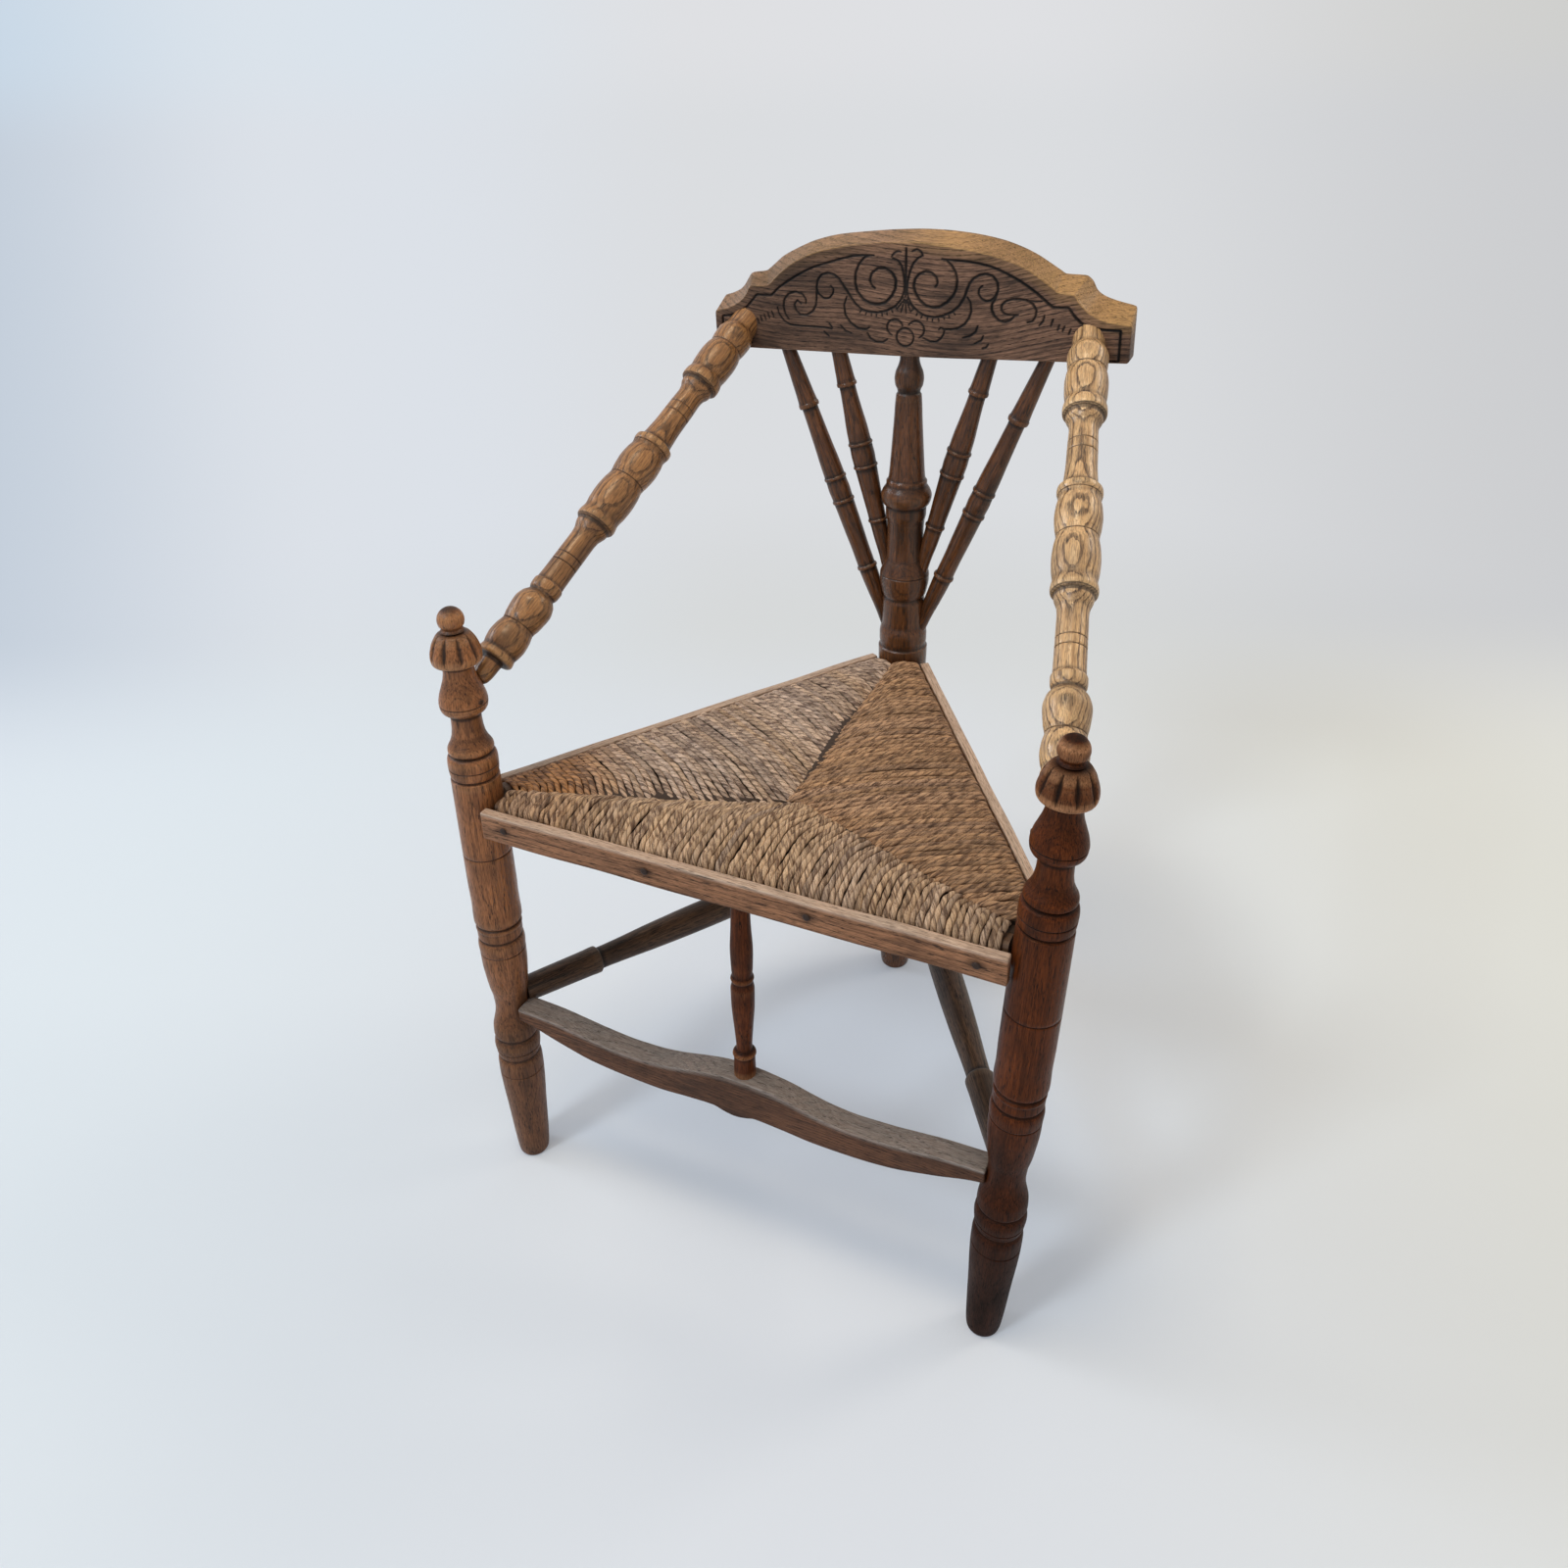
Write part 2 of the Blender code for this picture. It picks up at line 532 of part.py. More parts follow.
def make_side_stretchers(posts):
    height = BOW_HEIGHT + STRETCHER_RISE
    bow_clearance = bow_body("front_stretcher_clearance", None, FIT_GAP)
    for side, side_name in ((-1, "left"), (1, "right")):
        start = front_point(side, height)
        end = back_point(height + side * STRETCHER_BACK_STAGGER)
        axis = (end - start).normalized()
        length = (end - start).length
        front_radius = post_radius_at(height)
        inner = front_radius - STRETCHER_TENON_DEPTH
        profile = [(front_radius / 2, STRETCHER_END_SHARE * STRETCHER_RADIUS)]
        profile += scaled(stretcher_turning_shares, length, STRETCHER_RADIUS)
        profile.append((length - front_radius / 2, STRETCHER_END_SHARE * STRETCHER_RADIUS))
        name = side_name + "_stretcher"
        body = turned(name, start, end, profile, oak_dark)
        combine(body, bow_clearance)
        for post_name, point, inward in ((side_name + "_post", start, axis),
                                         ("back_post", end, -axis)):
            combine(body, posts[post_name + "_clearance"])
            root = point + inward * 2 * front_radius
            tip = point + inward * inner
            label = name + "_" + post_name
            combine(body, rod(label + "_tenon", tip, root, STRETCHER_TENON_RADIUS), "UNION")
            peg_hole(posts[post_name], label + "_mortise", root, tip, STRETCHER_TENON_RADIUS)


def bow_body(name, finish, grow):
    """The front stretcher's board between the posts' axes."""
    left, right = front_point(-1, BOW_HEIGHT), front_point(1, BOW_HEIGHT)
    middle = (left + right) / 2
    half_length = (right.x - left.x - post_radius_at(BOW_HEIGHT)) / 2
    half_depth = BOW_THICKNESS / 2 + grow
    rings = []
    for side in (-1, 1):
        rows = bow_edge_shares if side < 0 else tuple(reversed(bow_edge_shares[:-1]))
        for share, top, bottom in rows:
            x = middle.x + side * share * half_length
            high, low = BOW_SAG * top + grow, BOW_SAG * bottom - grow
            section = ((-half_depth, low), (half_depth, low), (half_depth, high),
                       (-half_depth, high))
            rings.append([Vector((x, middle.y + depth, BOW_HEIGHT + rise))
                          for depth, rise in section])
    return loft(name, rings, finish)


def make_bow_stretcher(posts):
    bow = bow_body("front_stretcher", oak_mid, 0.0)
    for side, post_name in ((-1, "left_post"), (1, "right_post")):
        combine(bow, posts[post_name + "_clearance"])
        radius = post_radius_at(BOW_HEIGHT)
        post = front_point(side, BOW_HEIGHT)
        tip = post.x - side * (radius - BOW_TENON_DEPTH)
        root = post.x - side * 2 * radius
        centre = Vector(((tip + root) / 2, post.y, BOW_HEIGHT - BOW_TENON_DROP))
        half = abs(tip - root) / 2
        across, up, along = Vector((0, 1, 0)), Vector((0, 0, 1)), Vector((1, 0, 0))
        sizes = (BOW_TENON_WIDTH / 2, BOW_TENON_HEIGHT / 2, half)
        tenon = box("front_stretcher_tenon_" + post_name, centre, across, up, along, sizes)
        combine(bow, tenon, "UNION")
        hole = box("front_stretcher_mortise_" + post_name, centre, across, up, along,
                   tuple(size + FIT_GAP for size in sizes))
        combine(posts[post_name], hole)
    return bow, front_point(1, BOW_HEIGHT).y


def side_line(corner_a, corner_b):
    """A seat side: its start, direction, outward direction and length, in plan."""
    along = corner_b - corner_a
    length = along.length
    along = along.normalized()
    outward = along.cross(Vector((0.0, 0.0, 1.0)))
    return corner_a, along, outward, length


def seat_sides():
    """The three sides in plan, anticlockwise seen from above, each with its posts."""
    left, right = front_point(-1, SEAT_RAIL_HEIGHT), front_point(1, SEAT_RAIL_HEIGHT)
    back = back_point(SEAT_RAIL_HEIGHT)
    return {
        "front": (side_line(left, right), ("left_post", "right_post"), (-1, -1)),
        "right": (side_line(right, back), ("right_post", "back_post"), (1, 1)),
        "left": (side_line(back, left), ("back_post", "left_post"), (-1, 1)),
    }


def radius_of(post_name):
    return BACK_POST_RADIUS if post_name == "back_post" else POST_RADIUS


def oval(centre, across, half_width, half_height, sides=TURNING_SIDES):
    """A rounded-bar section: an oval with fuller corners than an ellipse."""
    up = Vector((0.0, 0.0, 1.0))
    ring = []
    for k in range(sides):
        angle = math.tau * k / sides
        c, s = math.cos(angle), math.sin(angle)
        ring.append(centre + across * half_width * math.copysign(math.sqrt(abs(c)), c)
                    + up * half_height * math.copysign(math.sqrt(abs(s)), s))
    return ring


def make_rail(name, line, post_names, stagger, posts):
    """A seat rail whose round tenons sit above or below its middle."""
    start, along, outward, length = line
    up = Vector((0.0, 0.0, 1.0))
    across = up.cross(along)
    shoulders = [radius_of(post) + RAIL_SHOULDER_GAP for post in post_names]
    tips = [radius_of(post) - RAIL_TENON_DEPTH for post in post_names]
    places = ((tips[0], stagger[0], False), (shoulders[0], stagger[0], False),
              (shoulders[0], 0, True), (length - shoulders[1], 0, True),
              (length - shoulders[1], stagger[1], False), (length - tips[1], stagger[1], False))
    rings = []
    for place, lift, is_body in places:
        centre = start + along * place + up * lift * RAIL_TENON_STAGGER
        if is_body:
            rings.append(oval(centre, across, RAIL_HALF_WIDTH, RAIL_HALF_HEIGHT))
        else:
            rings.append(circle(centre, across, up, RAIL_TENON_RADIUS, TURNING_SIDES))
    rail = loft(name, rings, oak_mid)
    for index, post in enumerate(post_names):
        lift = up * stagger[index] * RAIL_TENON_STAGGER
        place = (0.0, length)[index]
        inward = along if index == 0 else -along
        corner = start + along * place + lift
        peg_hole(posts[post], name + "_mortise_" + post,
                 corner + inward * (shoulders[index] + CUT_OVERRUN),
                 corner + inward * tips[index], RAIL_TENON_RADIUS)
    tunnel_rings = [oval(start + along * place, across, RAIL_HALF_WIDTH + FIT_GAP,
                         RAIL_HALF_HEIGHT + FIT_GAP) for place in (0.0, length)]
    return rail, loft(name + "_tunnel", tunnel_rings)


def pad_ring(sides, meeting, inward, rise, offset):
    """One ring of the pad: the rail lines moved out, then drawn towards the meeting point."""
    ring = []
    for line, _, _ in sides.values():
        start, along, outward, length = line
        for k in range(RUSH_CELLS_ALONG + 1):
            share = k / RUSH_CELLS_ALONG
            place = RUSH_CORNER_START + (length - 2 * RUSH_CORNER_START) * share
            point = start + along * place + outward * offset
            point = point.lerp(meeting, inward)
            crown = RUSH_CROWN * math.sin(math.pi * share) * math.sin(math.pi * inward)
            edge = abs(2 * share - 1) ** 6
            dip = RUSH_VALLEY * edge * math.sin(math.pi * min(inward * 2, 1) / 2)
            lift = rise + math.copysign(crown - dip, rise) if inward else rise
            ring.append(Vector((point.x, point.y, SEAT_RAIL_HEIGHT + lift)))
    return ring


def make_rush(sides, posts, tunnels):
    meeting = Vector((RUSH_MEETING_OFFSET, RUSH_MEETING_SET_BACK, SEAT_RAIL_HEIGHT))
    half_width = RAIL_HALF_WIDTH + RUSH_THICKNESS
    half_height = RAIL_HALF_HEIGHT + RUSH_COVER
    in_shares = [k / RUSH_CELLS_IN for k in range(RUSH_CELLS_IN)]
    rings = [pad_ring(sides, meeting, share, half_height, 0.0) for share in reversed(in_shares)]
    for share in roll_turn_shares:
        turn = math.pi / 2 - math.pi * share
        rings.append(pad_ring(sides, meeting, 0.0, half_height * math.sin(turn),
                              half_width * math.cos(turn)))
    rings += [pad_ring(sides, meeting, share, -half_height, 0.0) for share in in_shares]
    middle = Vector((0.0, 0.0, half_height - RUSH_VALLEY))
    pad = loft("rush_seat", list(reversed(rings)), rush, (meeting - middle, meeting + middle))
    for post in ("left_post", "right_post", "back_post"):
        combine(pad, posts[post + "_clearance"])
    for tunnel in tunnels:
        combine(pad, tunnel)
    return pad


def make_strip(name, line, post_names):
    start, along, outward, length = line
    up = Vector((0.0, 0.0, 1.0))
    inner = RAIL_HALF_WIDTH + RUSH_THICKNESS + FIT_GAP
    ends = []
    for post in post_names:
        clear = radius_of(post) + FIT_GAP
        ends.append(math.sqrt(max(clear ** 2 - inner ** 2, 0.0)) + STRIP_END_GAP)
    half_along = (length - ends[0] - ends[1]) / 2
    middle = start + along * (ends[0] + half_along) + outward * (inner + STRIP_THICKNESS / 2)
    middle = middle - up * STRIP_DROP
    strip = box(name, middle, outward, up, along,
                (STRIP_THICKNESS / 2, STRIP_HEIGHT / 2, half_along), oak_mid, STRIP_CHAMFER)
    return strip, ends[0], 2 * half_along, inner


def make_nails(name, line, shares, strip_start, strip_length, inner, targets):
    start, along, outward, length = line
    up = Vector((0.0, 0.0, 1.0))
    face = inner + STRIP_THICKNESS
    for number, share in enumerate(shares, 1):
        foot = start + along * (strip_start + share * strip_length) - up * STRIP_DROP
        tip = RAIL_HALF_WIDTH - NAIL_DEPTH
        head_seat = face + FIT_GAP
        profile = ((tip, NAIL_RADIUS), (head_seat, NAIL_RADIUS), (head_seat, NAIL_HEAD_RADIUS),
                   (head_seat + NAIL_HEAD_HEIGHT / 2, NAIL_HEAD_RADIUS),
                   (head_seat + NAIL_HEAD_HEIGHT, NAIL_HEAD_RADIUS / 2))
        nail_name = name + "_nail_" + str(number)
        turned(nail_name, foot, foot + outward, profile, iron, NAIL_SIDES)
        hole = rod(nail_name + "_hole", foot + outward * (tip - FIT_GAP),
                   foot + outward * (face + CUT_OVERRUN), NAIL_RADIUS + FIT_GAP, None, NAIL_SIDES)
        for target in targets:
            combine(target, hole)


def make_stay(bow, bow_depth, front_rail, pad):
    """The little spindle between the bow stretcher and the front seat rail."""
    low = BOW_HEIGHT + BOW_SAG * bow_edge_shares[-1][1] + FIT_GAP
    high = SEAT_RAIL_HEIGHT - RAIL_HALF_HEIGHT - FIT_GAP
    depth = front_point(1, SEAT_RAIL_HEIGHT).y
    foot = Vector((STAY_OFFSET, bow_depth, low))
    head = Vector((STAY_OFFSET, depth, high))
    length = (head - foot).length
    axis = (head - foot).normalized()
    lean = STAY_RADIUS * abs(depth - bow_depth) / length
    profile = ([(-STAY_TENON_DEPTH, STAY_TENON_RADIUS), (lean, STAY_TENON_RADIUS)]
               + [(max(along, lean), radius)
                  for along, radius in scaled(stay_turning_shares, length, STAY_RADIUS)])
    profile[-1] = (length - lean, profile[-1][1])
    profile += [(length - lean, STAY_TENON_RADIUS), (length + STAY_TENON_DEPTH, STAY_TENON_RADIUS)]
    turned("front_spindle", foot, head, profile, oak_mid, SLENDER_SIDES)
    peg_hole(bow, "front_spindle_foot_mortise", foot + axis * CUT_OVERRUN,
             foot - axis * STAY_TENON_DEPTH, STAY_TENON_RADIUS, SLENDER_SIDES)
    peg_hole(front_rail, "front_spindle_head_mortise", head - axis * CUT_OVERRUN,
             head + axis * STAY_TENON_DEPTH, STAY_TENON_RADIUS, SLENDER_SIDES)
    head_radius = profile[-3][1]
    combine(pad, rod("front_spindle_pad_hole", head - axis * 4 * RUSH_COVER,
                     head + axis * RUSH_COVER, head_radius + FIT_GAP, None, SLENDER_SIDES))


for old in list(bpy.data.objects):
    bpy.data.objects.remove(old, do_unlink=True)

chair_origin = bpy.data.objects.new("chair_origin", None)
bpy.context.scene.collection.objects.link(chair_origin)

oak_light = material("oak_light", OAK_LIGHT, 0.45)
oak_mid = material("oak_mid", OAK_MID, 0.45)
oak_dark = material("oak_dark", OAK_DARK, 0.42)
oak_grey = material("oak_grey", OAK_GREY, 0.60)
rush = material("rush", RUSH_TAN, 0.80)
iron = material("iron", IRON_DARK, 0.60, 0.6)

all_posts = make_posts()
crest_rail = make_crest(all_posts)
for arm_side, arm_name in ((-1, "left_arm"), (1, "right_arm")):
    arm_object, arm_start, arm_axis, arm_height = make_arm(arm_side, arm_name, all_posts, crest_rail)
    make_peg(arm_side, arm_object, arm_start, arm_axis, arm_height, all_posts)
make_spindles(all_posts, crest_rail)
make_side_stretchers(all_posts)
bow_stretcher, bow_y = make_bow_stretcher(all_posts)

chair_sides = seat_sides()
rails, rail_tunnels = {}, []
for side_key, (side_data, side_posts, side_stagger) in chair_sides.items():
    rail_object, tunnel_object = make_rail(side_key + "_seat_rail", side_data, side_posts,
                                           side_stagger, all_posts)
    rails[side_key] = rail_object
    rail_tunnels.append(tunnel_object)
rush_pad = make_rush(chair_sides, all_posts, rail_tunnels)
for side_key, (side_data, side_posts, side_stagger) in chair_sides.items():
    edge_strip, strip_from, strip_span, strip_inner = make_strip(
        side_key + "_edge_strip", side_data, side_posts)
    nail_shares = front_nail_shares if side_key == "front" else side_nail_shares
    make_nails(side_key, side_data, nail_shares, strip_from, strip_span, strip_inner,
               (edge_strip, rush_pad, rails[side_key]))
make_stay(bow_stretcher, bow_y, rails["front"], rush_pad)

# The middle of the chair's width and depth comes to the origin
corners = [point.co for part in bpy.data.objects if part.type == "MESH" and not part.hide_render
           for point in part.data.vertices]
for direction in (0, 1):
    reach = [corner[direction] for corner in corners]
    chair_origin.location[direction] = -(min(reach) + max(reach)) / 2
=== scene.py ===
import math

import bpy
import numpy as np
from mathutils import Matrix, Vector


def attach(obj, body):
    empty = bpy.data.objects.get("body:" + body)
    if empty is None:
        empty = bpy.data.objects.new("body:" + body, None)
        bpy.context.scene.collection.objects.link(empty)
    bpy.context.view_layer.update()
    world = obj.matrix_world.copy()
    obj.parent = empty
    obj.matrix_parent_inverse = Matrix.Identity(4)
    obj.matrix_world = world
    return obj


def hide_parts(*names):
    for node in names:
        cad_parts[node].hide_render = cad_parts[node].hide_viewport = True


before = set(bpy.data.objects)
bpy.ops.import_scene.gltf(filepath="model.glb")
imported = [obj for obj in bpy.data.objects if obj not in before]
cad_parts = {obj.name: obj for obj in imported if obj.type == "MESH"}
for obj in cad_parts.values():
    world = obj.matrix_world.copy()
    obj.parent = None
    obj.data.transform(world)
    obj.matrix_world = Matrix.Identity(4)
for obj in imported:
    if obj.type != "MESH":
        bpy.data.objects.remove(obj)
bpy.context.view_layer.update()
print("frame loaded:", len(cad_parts), "nodes")

# Layout in metres: x to the chair's right, y to its back and z up, drawn from the chair's
# middle line and from the line between its front feet
middleX = -0.0012
frontLineY = -0.204818
seatRailHeight = 0.400        # middle of the seat rails
ballHeight = 0.5758           # middle of the finials' balls
frontPostTop = 0.587
frontLean = 0.012             # how far the front posts stand back at their finials
backPostX, backPostY = -0.0025, 0.4035
crestUnderside = 0.727
# each front post's place from the middle, at the foot and at the finial
frontPlaces = {-1: (-0.2360, -0.2545), 1: (0.2286, 0.2575)}
up = np.array([0.0, 0.0, 1.0])


def frontAxis(side, z):
    # the feet stand closer together than the finials, and not quite evenly about the middle
    foot, top = frontPlaces[side]
    rise = z / ballHeight
    return np.array([middleX + foot + (top - foot) * rise, frontLineY + frontLean * rise, z])


def backAxis(z):
    return np.array([middleX + backPostX, frontLineY + backPostY, z])


# The crest is turned a little in plan and a little higher at its right end
crestPlace = dict(turn=0.050, tilt=0.018, offset=0.002)
crestThickness = 0.027
crestFrame = np.array(Matrix.Rotation(crestPlace["turn"], 3, "Z")
                      @ Matrix.Rotation(-crestPlace["tilt"], 3, "Y"))
crestOrigin = np.array([middleX + crestPlace["offset"], frontLineY + backPostY, crestUnderside])


def crestPoint(along, depth, height):
    return crestOrigin + np.stack([along, depth, height], -1) @ crestFrame.T


# Camera, as fitted to the photograph: turns in radians, its place from the layout's lines
cameraView = dict(yaw=0.4461, pitch=0.4507, roll=-0.0211, place=(0.3910, -0.7063, 1.0104),
                  lens=28.747, sensor=36.0, shift=-0.1)


def addCamera(view):
    # level and steep are the picture's own axes before the roll turns them
    yaw, pitch, roll = view["yaw"], view["pitch"], view["roll"]
    ahead = np.array([-math.sin(yaw) * math.cos(pitch), math.cos(yaw) * math.cos(pitch),
                      -math.sin(pitch)])
    level = np.array([math.cos(yaw), math.sin(yaw), 0.0])
    steep = np.cross(level, ahead)
    turned = np.eye(4)
    turned[:3, 0] = math.cos(roll) * level + math.sin(roll) * steep
    turned[:3, 1] = -math.sin(roll) * level + math.cos(roll) * steep
    turned[:3, 2] = -ahead
    turned[:3, 3] = view["place"] + np.array([middleX, frontLineY, 0.0])
    data = bpy.data.cameras.new("camera")
    data.lens, data.sensor_width, data.shift_y = view["lens"], view["sensor"], view["shift"]
    data.clip_start = 0.02
    camera = bpy.data.objects.new("camera", data)
    bpy.context.scene.collection.objects.link(camera)
    camera.matrix_world = Matrix(turned.tolist())
    bpy.context.scene.camera = camera


addCamera(cameraView)
bpy.context.scene.view_settings.view_transform = "Standard"

# A warm lamp over the chair, two cool windows in front and on the left, and a weaker warm
# light from behind on the right: round area lights, each aimed at a place on the chair
lights = {
    "ceilingLight": dict(place=(-0.40, -0.65, 4.3), aim=(0.0, 0.0, 0.3), size=1.2, power=50.0,
                         colour=(1.0, 0.82, 0.56)),
    "frontWindow": dict(place=(-2.6, -5.2, 5.6), aim=(0.0, 0.0, 0.3), size=1.6, power=175.0,
                        colour=(0.82, 0.93, 1.0)),
    "leftWindow": dict(place=(-6.0, -0.8, 3.6), aim=(0.0, 0.0, 0.4), size=2.4, power=100.0,
                       colour=(0.84, 0.92, 1.0)),
    "warmLight": dict(place=(4.0, 3.6, 4.4), aim=(0.0, 0.0, 0.3), size=2.0, power=78.0,
                      colour=(1.0, 0.91, 0.76))}
for name, light in lights.items():
    data = bpy.data.lights.new(name, "AREA")
    data.shape = "DISK"
    data.size, data.energy, data.color = light["size"], light["power"], light["colour"]
    lamp = bpy.data.objects.new(name, data)
    lamp.location = light["place"]
    beam = Vector(light["aim"]) - Vector(light["place"])
    lamp.rotation_euler = beam.to_track_quat("-Z", "Y").to_euler()
    bpy.context.scene.collection.objects.link(lamp)


class Tree:
    # short calls that add nodes to one material or world and hand back an output
    def __init__(self, idBlock):
        idBlock.use_nodes = True
        self.nodes = idBlock.node_tree.nodes
        self.links = idBlock.node_tree.links
        self.nodes.clear()

    def put(self, socket, value):
        if isinstance(value, bpy.types.NodeSocket):
            self.links.new(value, socket)
        elif value is not None:
            socket.default_value = value

    def make(self, kind, inputs=None, **settings):
        made = self.nodes.new(kind)
        for key, value in settings.items():
            setattr(made, key, value)
        for key, value in (inputs or {}).items():
            self.put(made.inputs[key], value)
        return made

    def calc(self, operation, a, b=None, clamp=False):
        made = self.make("ShaderNodeMath", {0: a, 1: b}, operation=operation, use_clamp=clamp)
        return made.outputs[0]

    def plus(self, a, b, clamp=False):
        return self.calc("ADD", a, b, clamp)

    def minus(self, a, b):
        return self.calc("SUBTRACT", a, b)

    def times(self, a, b, clamp=False):
        return self.calc("MULTIPLY", a, b, clamp)

    def vector(self, operation, a, b=None):
        made = self.make("ShaderNodeVectorMath", {0: a, 1: b}, operation=operation)
        return made.outputs["Value" if operation in ("LENGTH", "DOT_PRODUCT") else "Vector"]

    def noise(self, vector, stretch, detail=2.0, rough=0.5):
        # stretch is how many noise cells fit in a metre along each axis
        place = self.vector("MULTIPLY", vector, stretch)
        return self.make("ShaderNodeTexNoise", {"Vector": place, "Scale": 1.0, "Detail": detail,
                                                "Roughness": rough}).outputs["Fac"]

    def span(self, value, low, high, outLow=0.0, outHigh=1.0, smooth=False):
        made = self.make("ShaderNodeMapRange", {"Value": value, "From Min": low, "From Max": high,
                                                "To Min": outLow, "To Max": outHigh},
                         interpolation_type="SMOOTHSTEP" if smooth else "LINEAR")
        return made.outputs["Result"]

    def mix(self, share, a, b):
        made = self.make("ShaderNodeMix", None, data_type="RGBA")
        for socket, value in zip((made.inputs[0], made.inputs[6], made.inputs[7]), (share, a, b)):
            self.put(socket, value)
        return made.outputs[2]

    def attribute(self, name, output="Fac"):
        return self.make("ShaderNodeAttribute", None, attribute_name=name).outputs[output]

    def seenRay(self):
        # 1 for camera, glossy and transmission rays, 0 for light on its way to the object
        rays = self.make("ShaderNodeLightPath").outputs
        shiny = self.calc("MAXIMUM", rays["Is Glossy Ray"], rays["Is Transmission Ray"])
        return self.calc("MAXIMUM", rays["Is Camera Ray"], shiny)

    def surface(self, colour, rough, height=None, strength=0.3, distance=0.0004, **fixed):
        shader = self.make("ShaderNodeBsdfPrincipled", {"Base Color": colour, "Roughness": rough})
        for key, value in fixed.items():
            shader.inputs[key.replace("_", " ")].default_value = value
        if height is not None:
            bump = self.make("ShaderNodeBump", {"Height": height, "Strength": strength,
                                                "Distance": distance})
            self.links.new(bump.outputs["Normal"], shader.inputs["Normal"])
        out = self.make("ShaderNodeOutputMaterial")
        self.links.new(shader.outputs["BSDF"], out.inputs["Surface"])
        return shader


def rgb(red, green, blue):
    # a colour given as it looks on screen, 0 to 255, in linear light
    def linear(value):
        value = value / 255.0
        return value / 12.92 if value <= 0.04045 else ((value + 0.055) / 1.055) ** 2.4
    return (linear(red), linear(green), linear(blue), 1.0)


# Pale floor and room. Near the chair the floor's colour goes from bluish on the left to a warm grey on the
# right, painted cool light from the left and warm light from the right; about a metre behind, it turns to the
# duller tones of a wall, and with distance into the backdrop, which camera and glossy rays see unshaded. The
# wall's and the backdrop's tones are bluer and darker to the left, painted light and shade as well.
roomRight = (0.902, 0.431, 0.0)     # unit directions on the floor
roomBack = (-0.431, 0.902, 0.0)
room = dict(
    nearTones=(rgb(222, 226, 235), rgb(222, 230, 239), rgb(228, 227, 222)),   # middle, left, right
    # middle, left of the middle, far left, right
    wallTones=(rgb(219, 221, 224), rgb(220, 225, 232), rgb(190, 202, 216), rgb(204, 205, 207)),
    backdropTones=(rgb(223, 224, 227), rgb(219, 227, 235), rgb(194, 212, 229), rgb(207, 207, 205)),
    wallStart=(0.55, 1.15),         # metres behind the chair's middle
    # glowLeast lets the floor near the chair glow a little even in its shadow, a painted light that lifts the
    # shadow
    glowStart=(0.9, 1.9), glowLeast=0.16,   # metres from the middle; the share unshaded before that
    fade=(0.004, 0.080),            # 1 over the distance, where the backdrop takes over
    reach=160.0, softLight=(0.91, 0.965, 1.0, 1.0), softStrength=0.45)


def acrossTones(tree, aside, middle, cool, left, right):
    # aside is the share of a direction that points right: four tones joined by smooth steps
    leftShare = tree.times(aside, -1.0)
    tone = tree.mix(tree.span(leftShare, 0.04, 0.28, smooth=True), middle, cool)
    tone = tree.mix(tree.span(leftShare, 0.33, 0.57, smooth=True), tone, left)
    return tree.mix(tree.span(aside, 0.16, 0.54, smooth=True), tone, right)


floorMaterial = bpy.data.materials.new("paleFloor")
tree = Tree(floorMaterial)
place = tree.make("ShaderNodeTexCoord").outputs["Object"]
lateral = tree.vector("DOT_PRODUCT", place, roomRight)
behind = tree.vector("DOT_PRODUCT", place, roomBack)
distance = tree.vector("LENGTH", place)
middleTone, leftTone, rightTone = room["nearTones"]
nearTone = tree.mix(tree.span(tree.times(lateral, -1.0), 0.0, 1.0, smooth=True), middleTone, leftTone)
nearTone = tree.mix(tree.span(lateral, 0.0, 1.0, smooth=True), nearTone, rightTone)
aside = tree.calc("DIVIDE", lateral, tree.plus(distance, 1.2))
tone = tree.mix(tree.span(behind, *room["wallStart"], smooth=True), nearTone,
                acrossTones(tree, aside, *room["wallTones"]))
away = tree.calc("DIVIDE", 1.0, distance)
tone = tree.mix(tree.span(away, *room["fade"], 1.0, 0.0, smooth=True), tone,
                acrossTones(tree, aside, *room["backdropTones"]))
floorShader = tree.surface(tone, 0.75, Specular_IOR_Level=0.1)
# camera and glossy rays see a share of the floor glowing, at least glowLeast near the chair: painted light
# over the chair's shadow
unshaded = tree.times(tree.seenRay(), tree.span(distance, *room["glowStart"], room["glowLeast"], 1.0,
                                                smooth=True))
glow = tree.make("ShaderNodeEmission", {"Color": tone, "Strength": 1.0})
blend = tree.make("ShaderNodeMixShader", {0: unshaded, 1: floorShader.outputs[0], 2: glow.outputs[0]})
tree.links.new(blend.outputs[0], tree.nodes["Material Output"].inputs["Surface"])
reach = room["reach"]
floorMesh = bpy.data.meshes.new("floor")
floorMesh.from_pydata([(-reach, -reach, 0.0), (reach, -reach, 0.0), (reach, reach, 0.0),
                       (-reach, reach, 0.0)], [], [(0, 1, 2, 3)])
floor = bpy.data.objects.new("floor", floorMesh)
floorMesh.materials.append(floorMaterial)
bpy.context.scene.collection.objects.link(floor)

# World: soft light for the object, the backdrop's tones for what sees it directly
world = bpy.data.worlds.new("studio")
bpy.context.scene.world = world
tree = Tree(world)
softLight = tree.make("ShaderNodeBackground", {"Color": room["softLight"],
                                               "Strength": room["softStrength"]})
aside = tree.vector("DOT_PRODUCT", tree.make("ShaderNodeTexCoord").outputs["Generated"], roomRight)
backdrop = tree.make("ShaderNodeBackground", {"Color": acrossTones(tree, aside, *room["backdropTones"]),
                                              "Strength": 1.0})
blend = tree.make("ShaderNodeMixShader", {0: tree.seenRay(), 1: softLight.outputs[0],
                                          2: backdrop.outputs[0]})
out = tree.make("ShaderNodeOutputWorld")
tree.links.new(blend.outputs[0], out.inputs["Surface"])
print("camera, light and floor done")
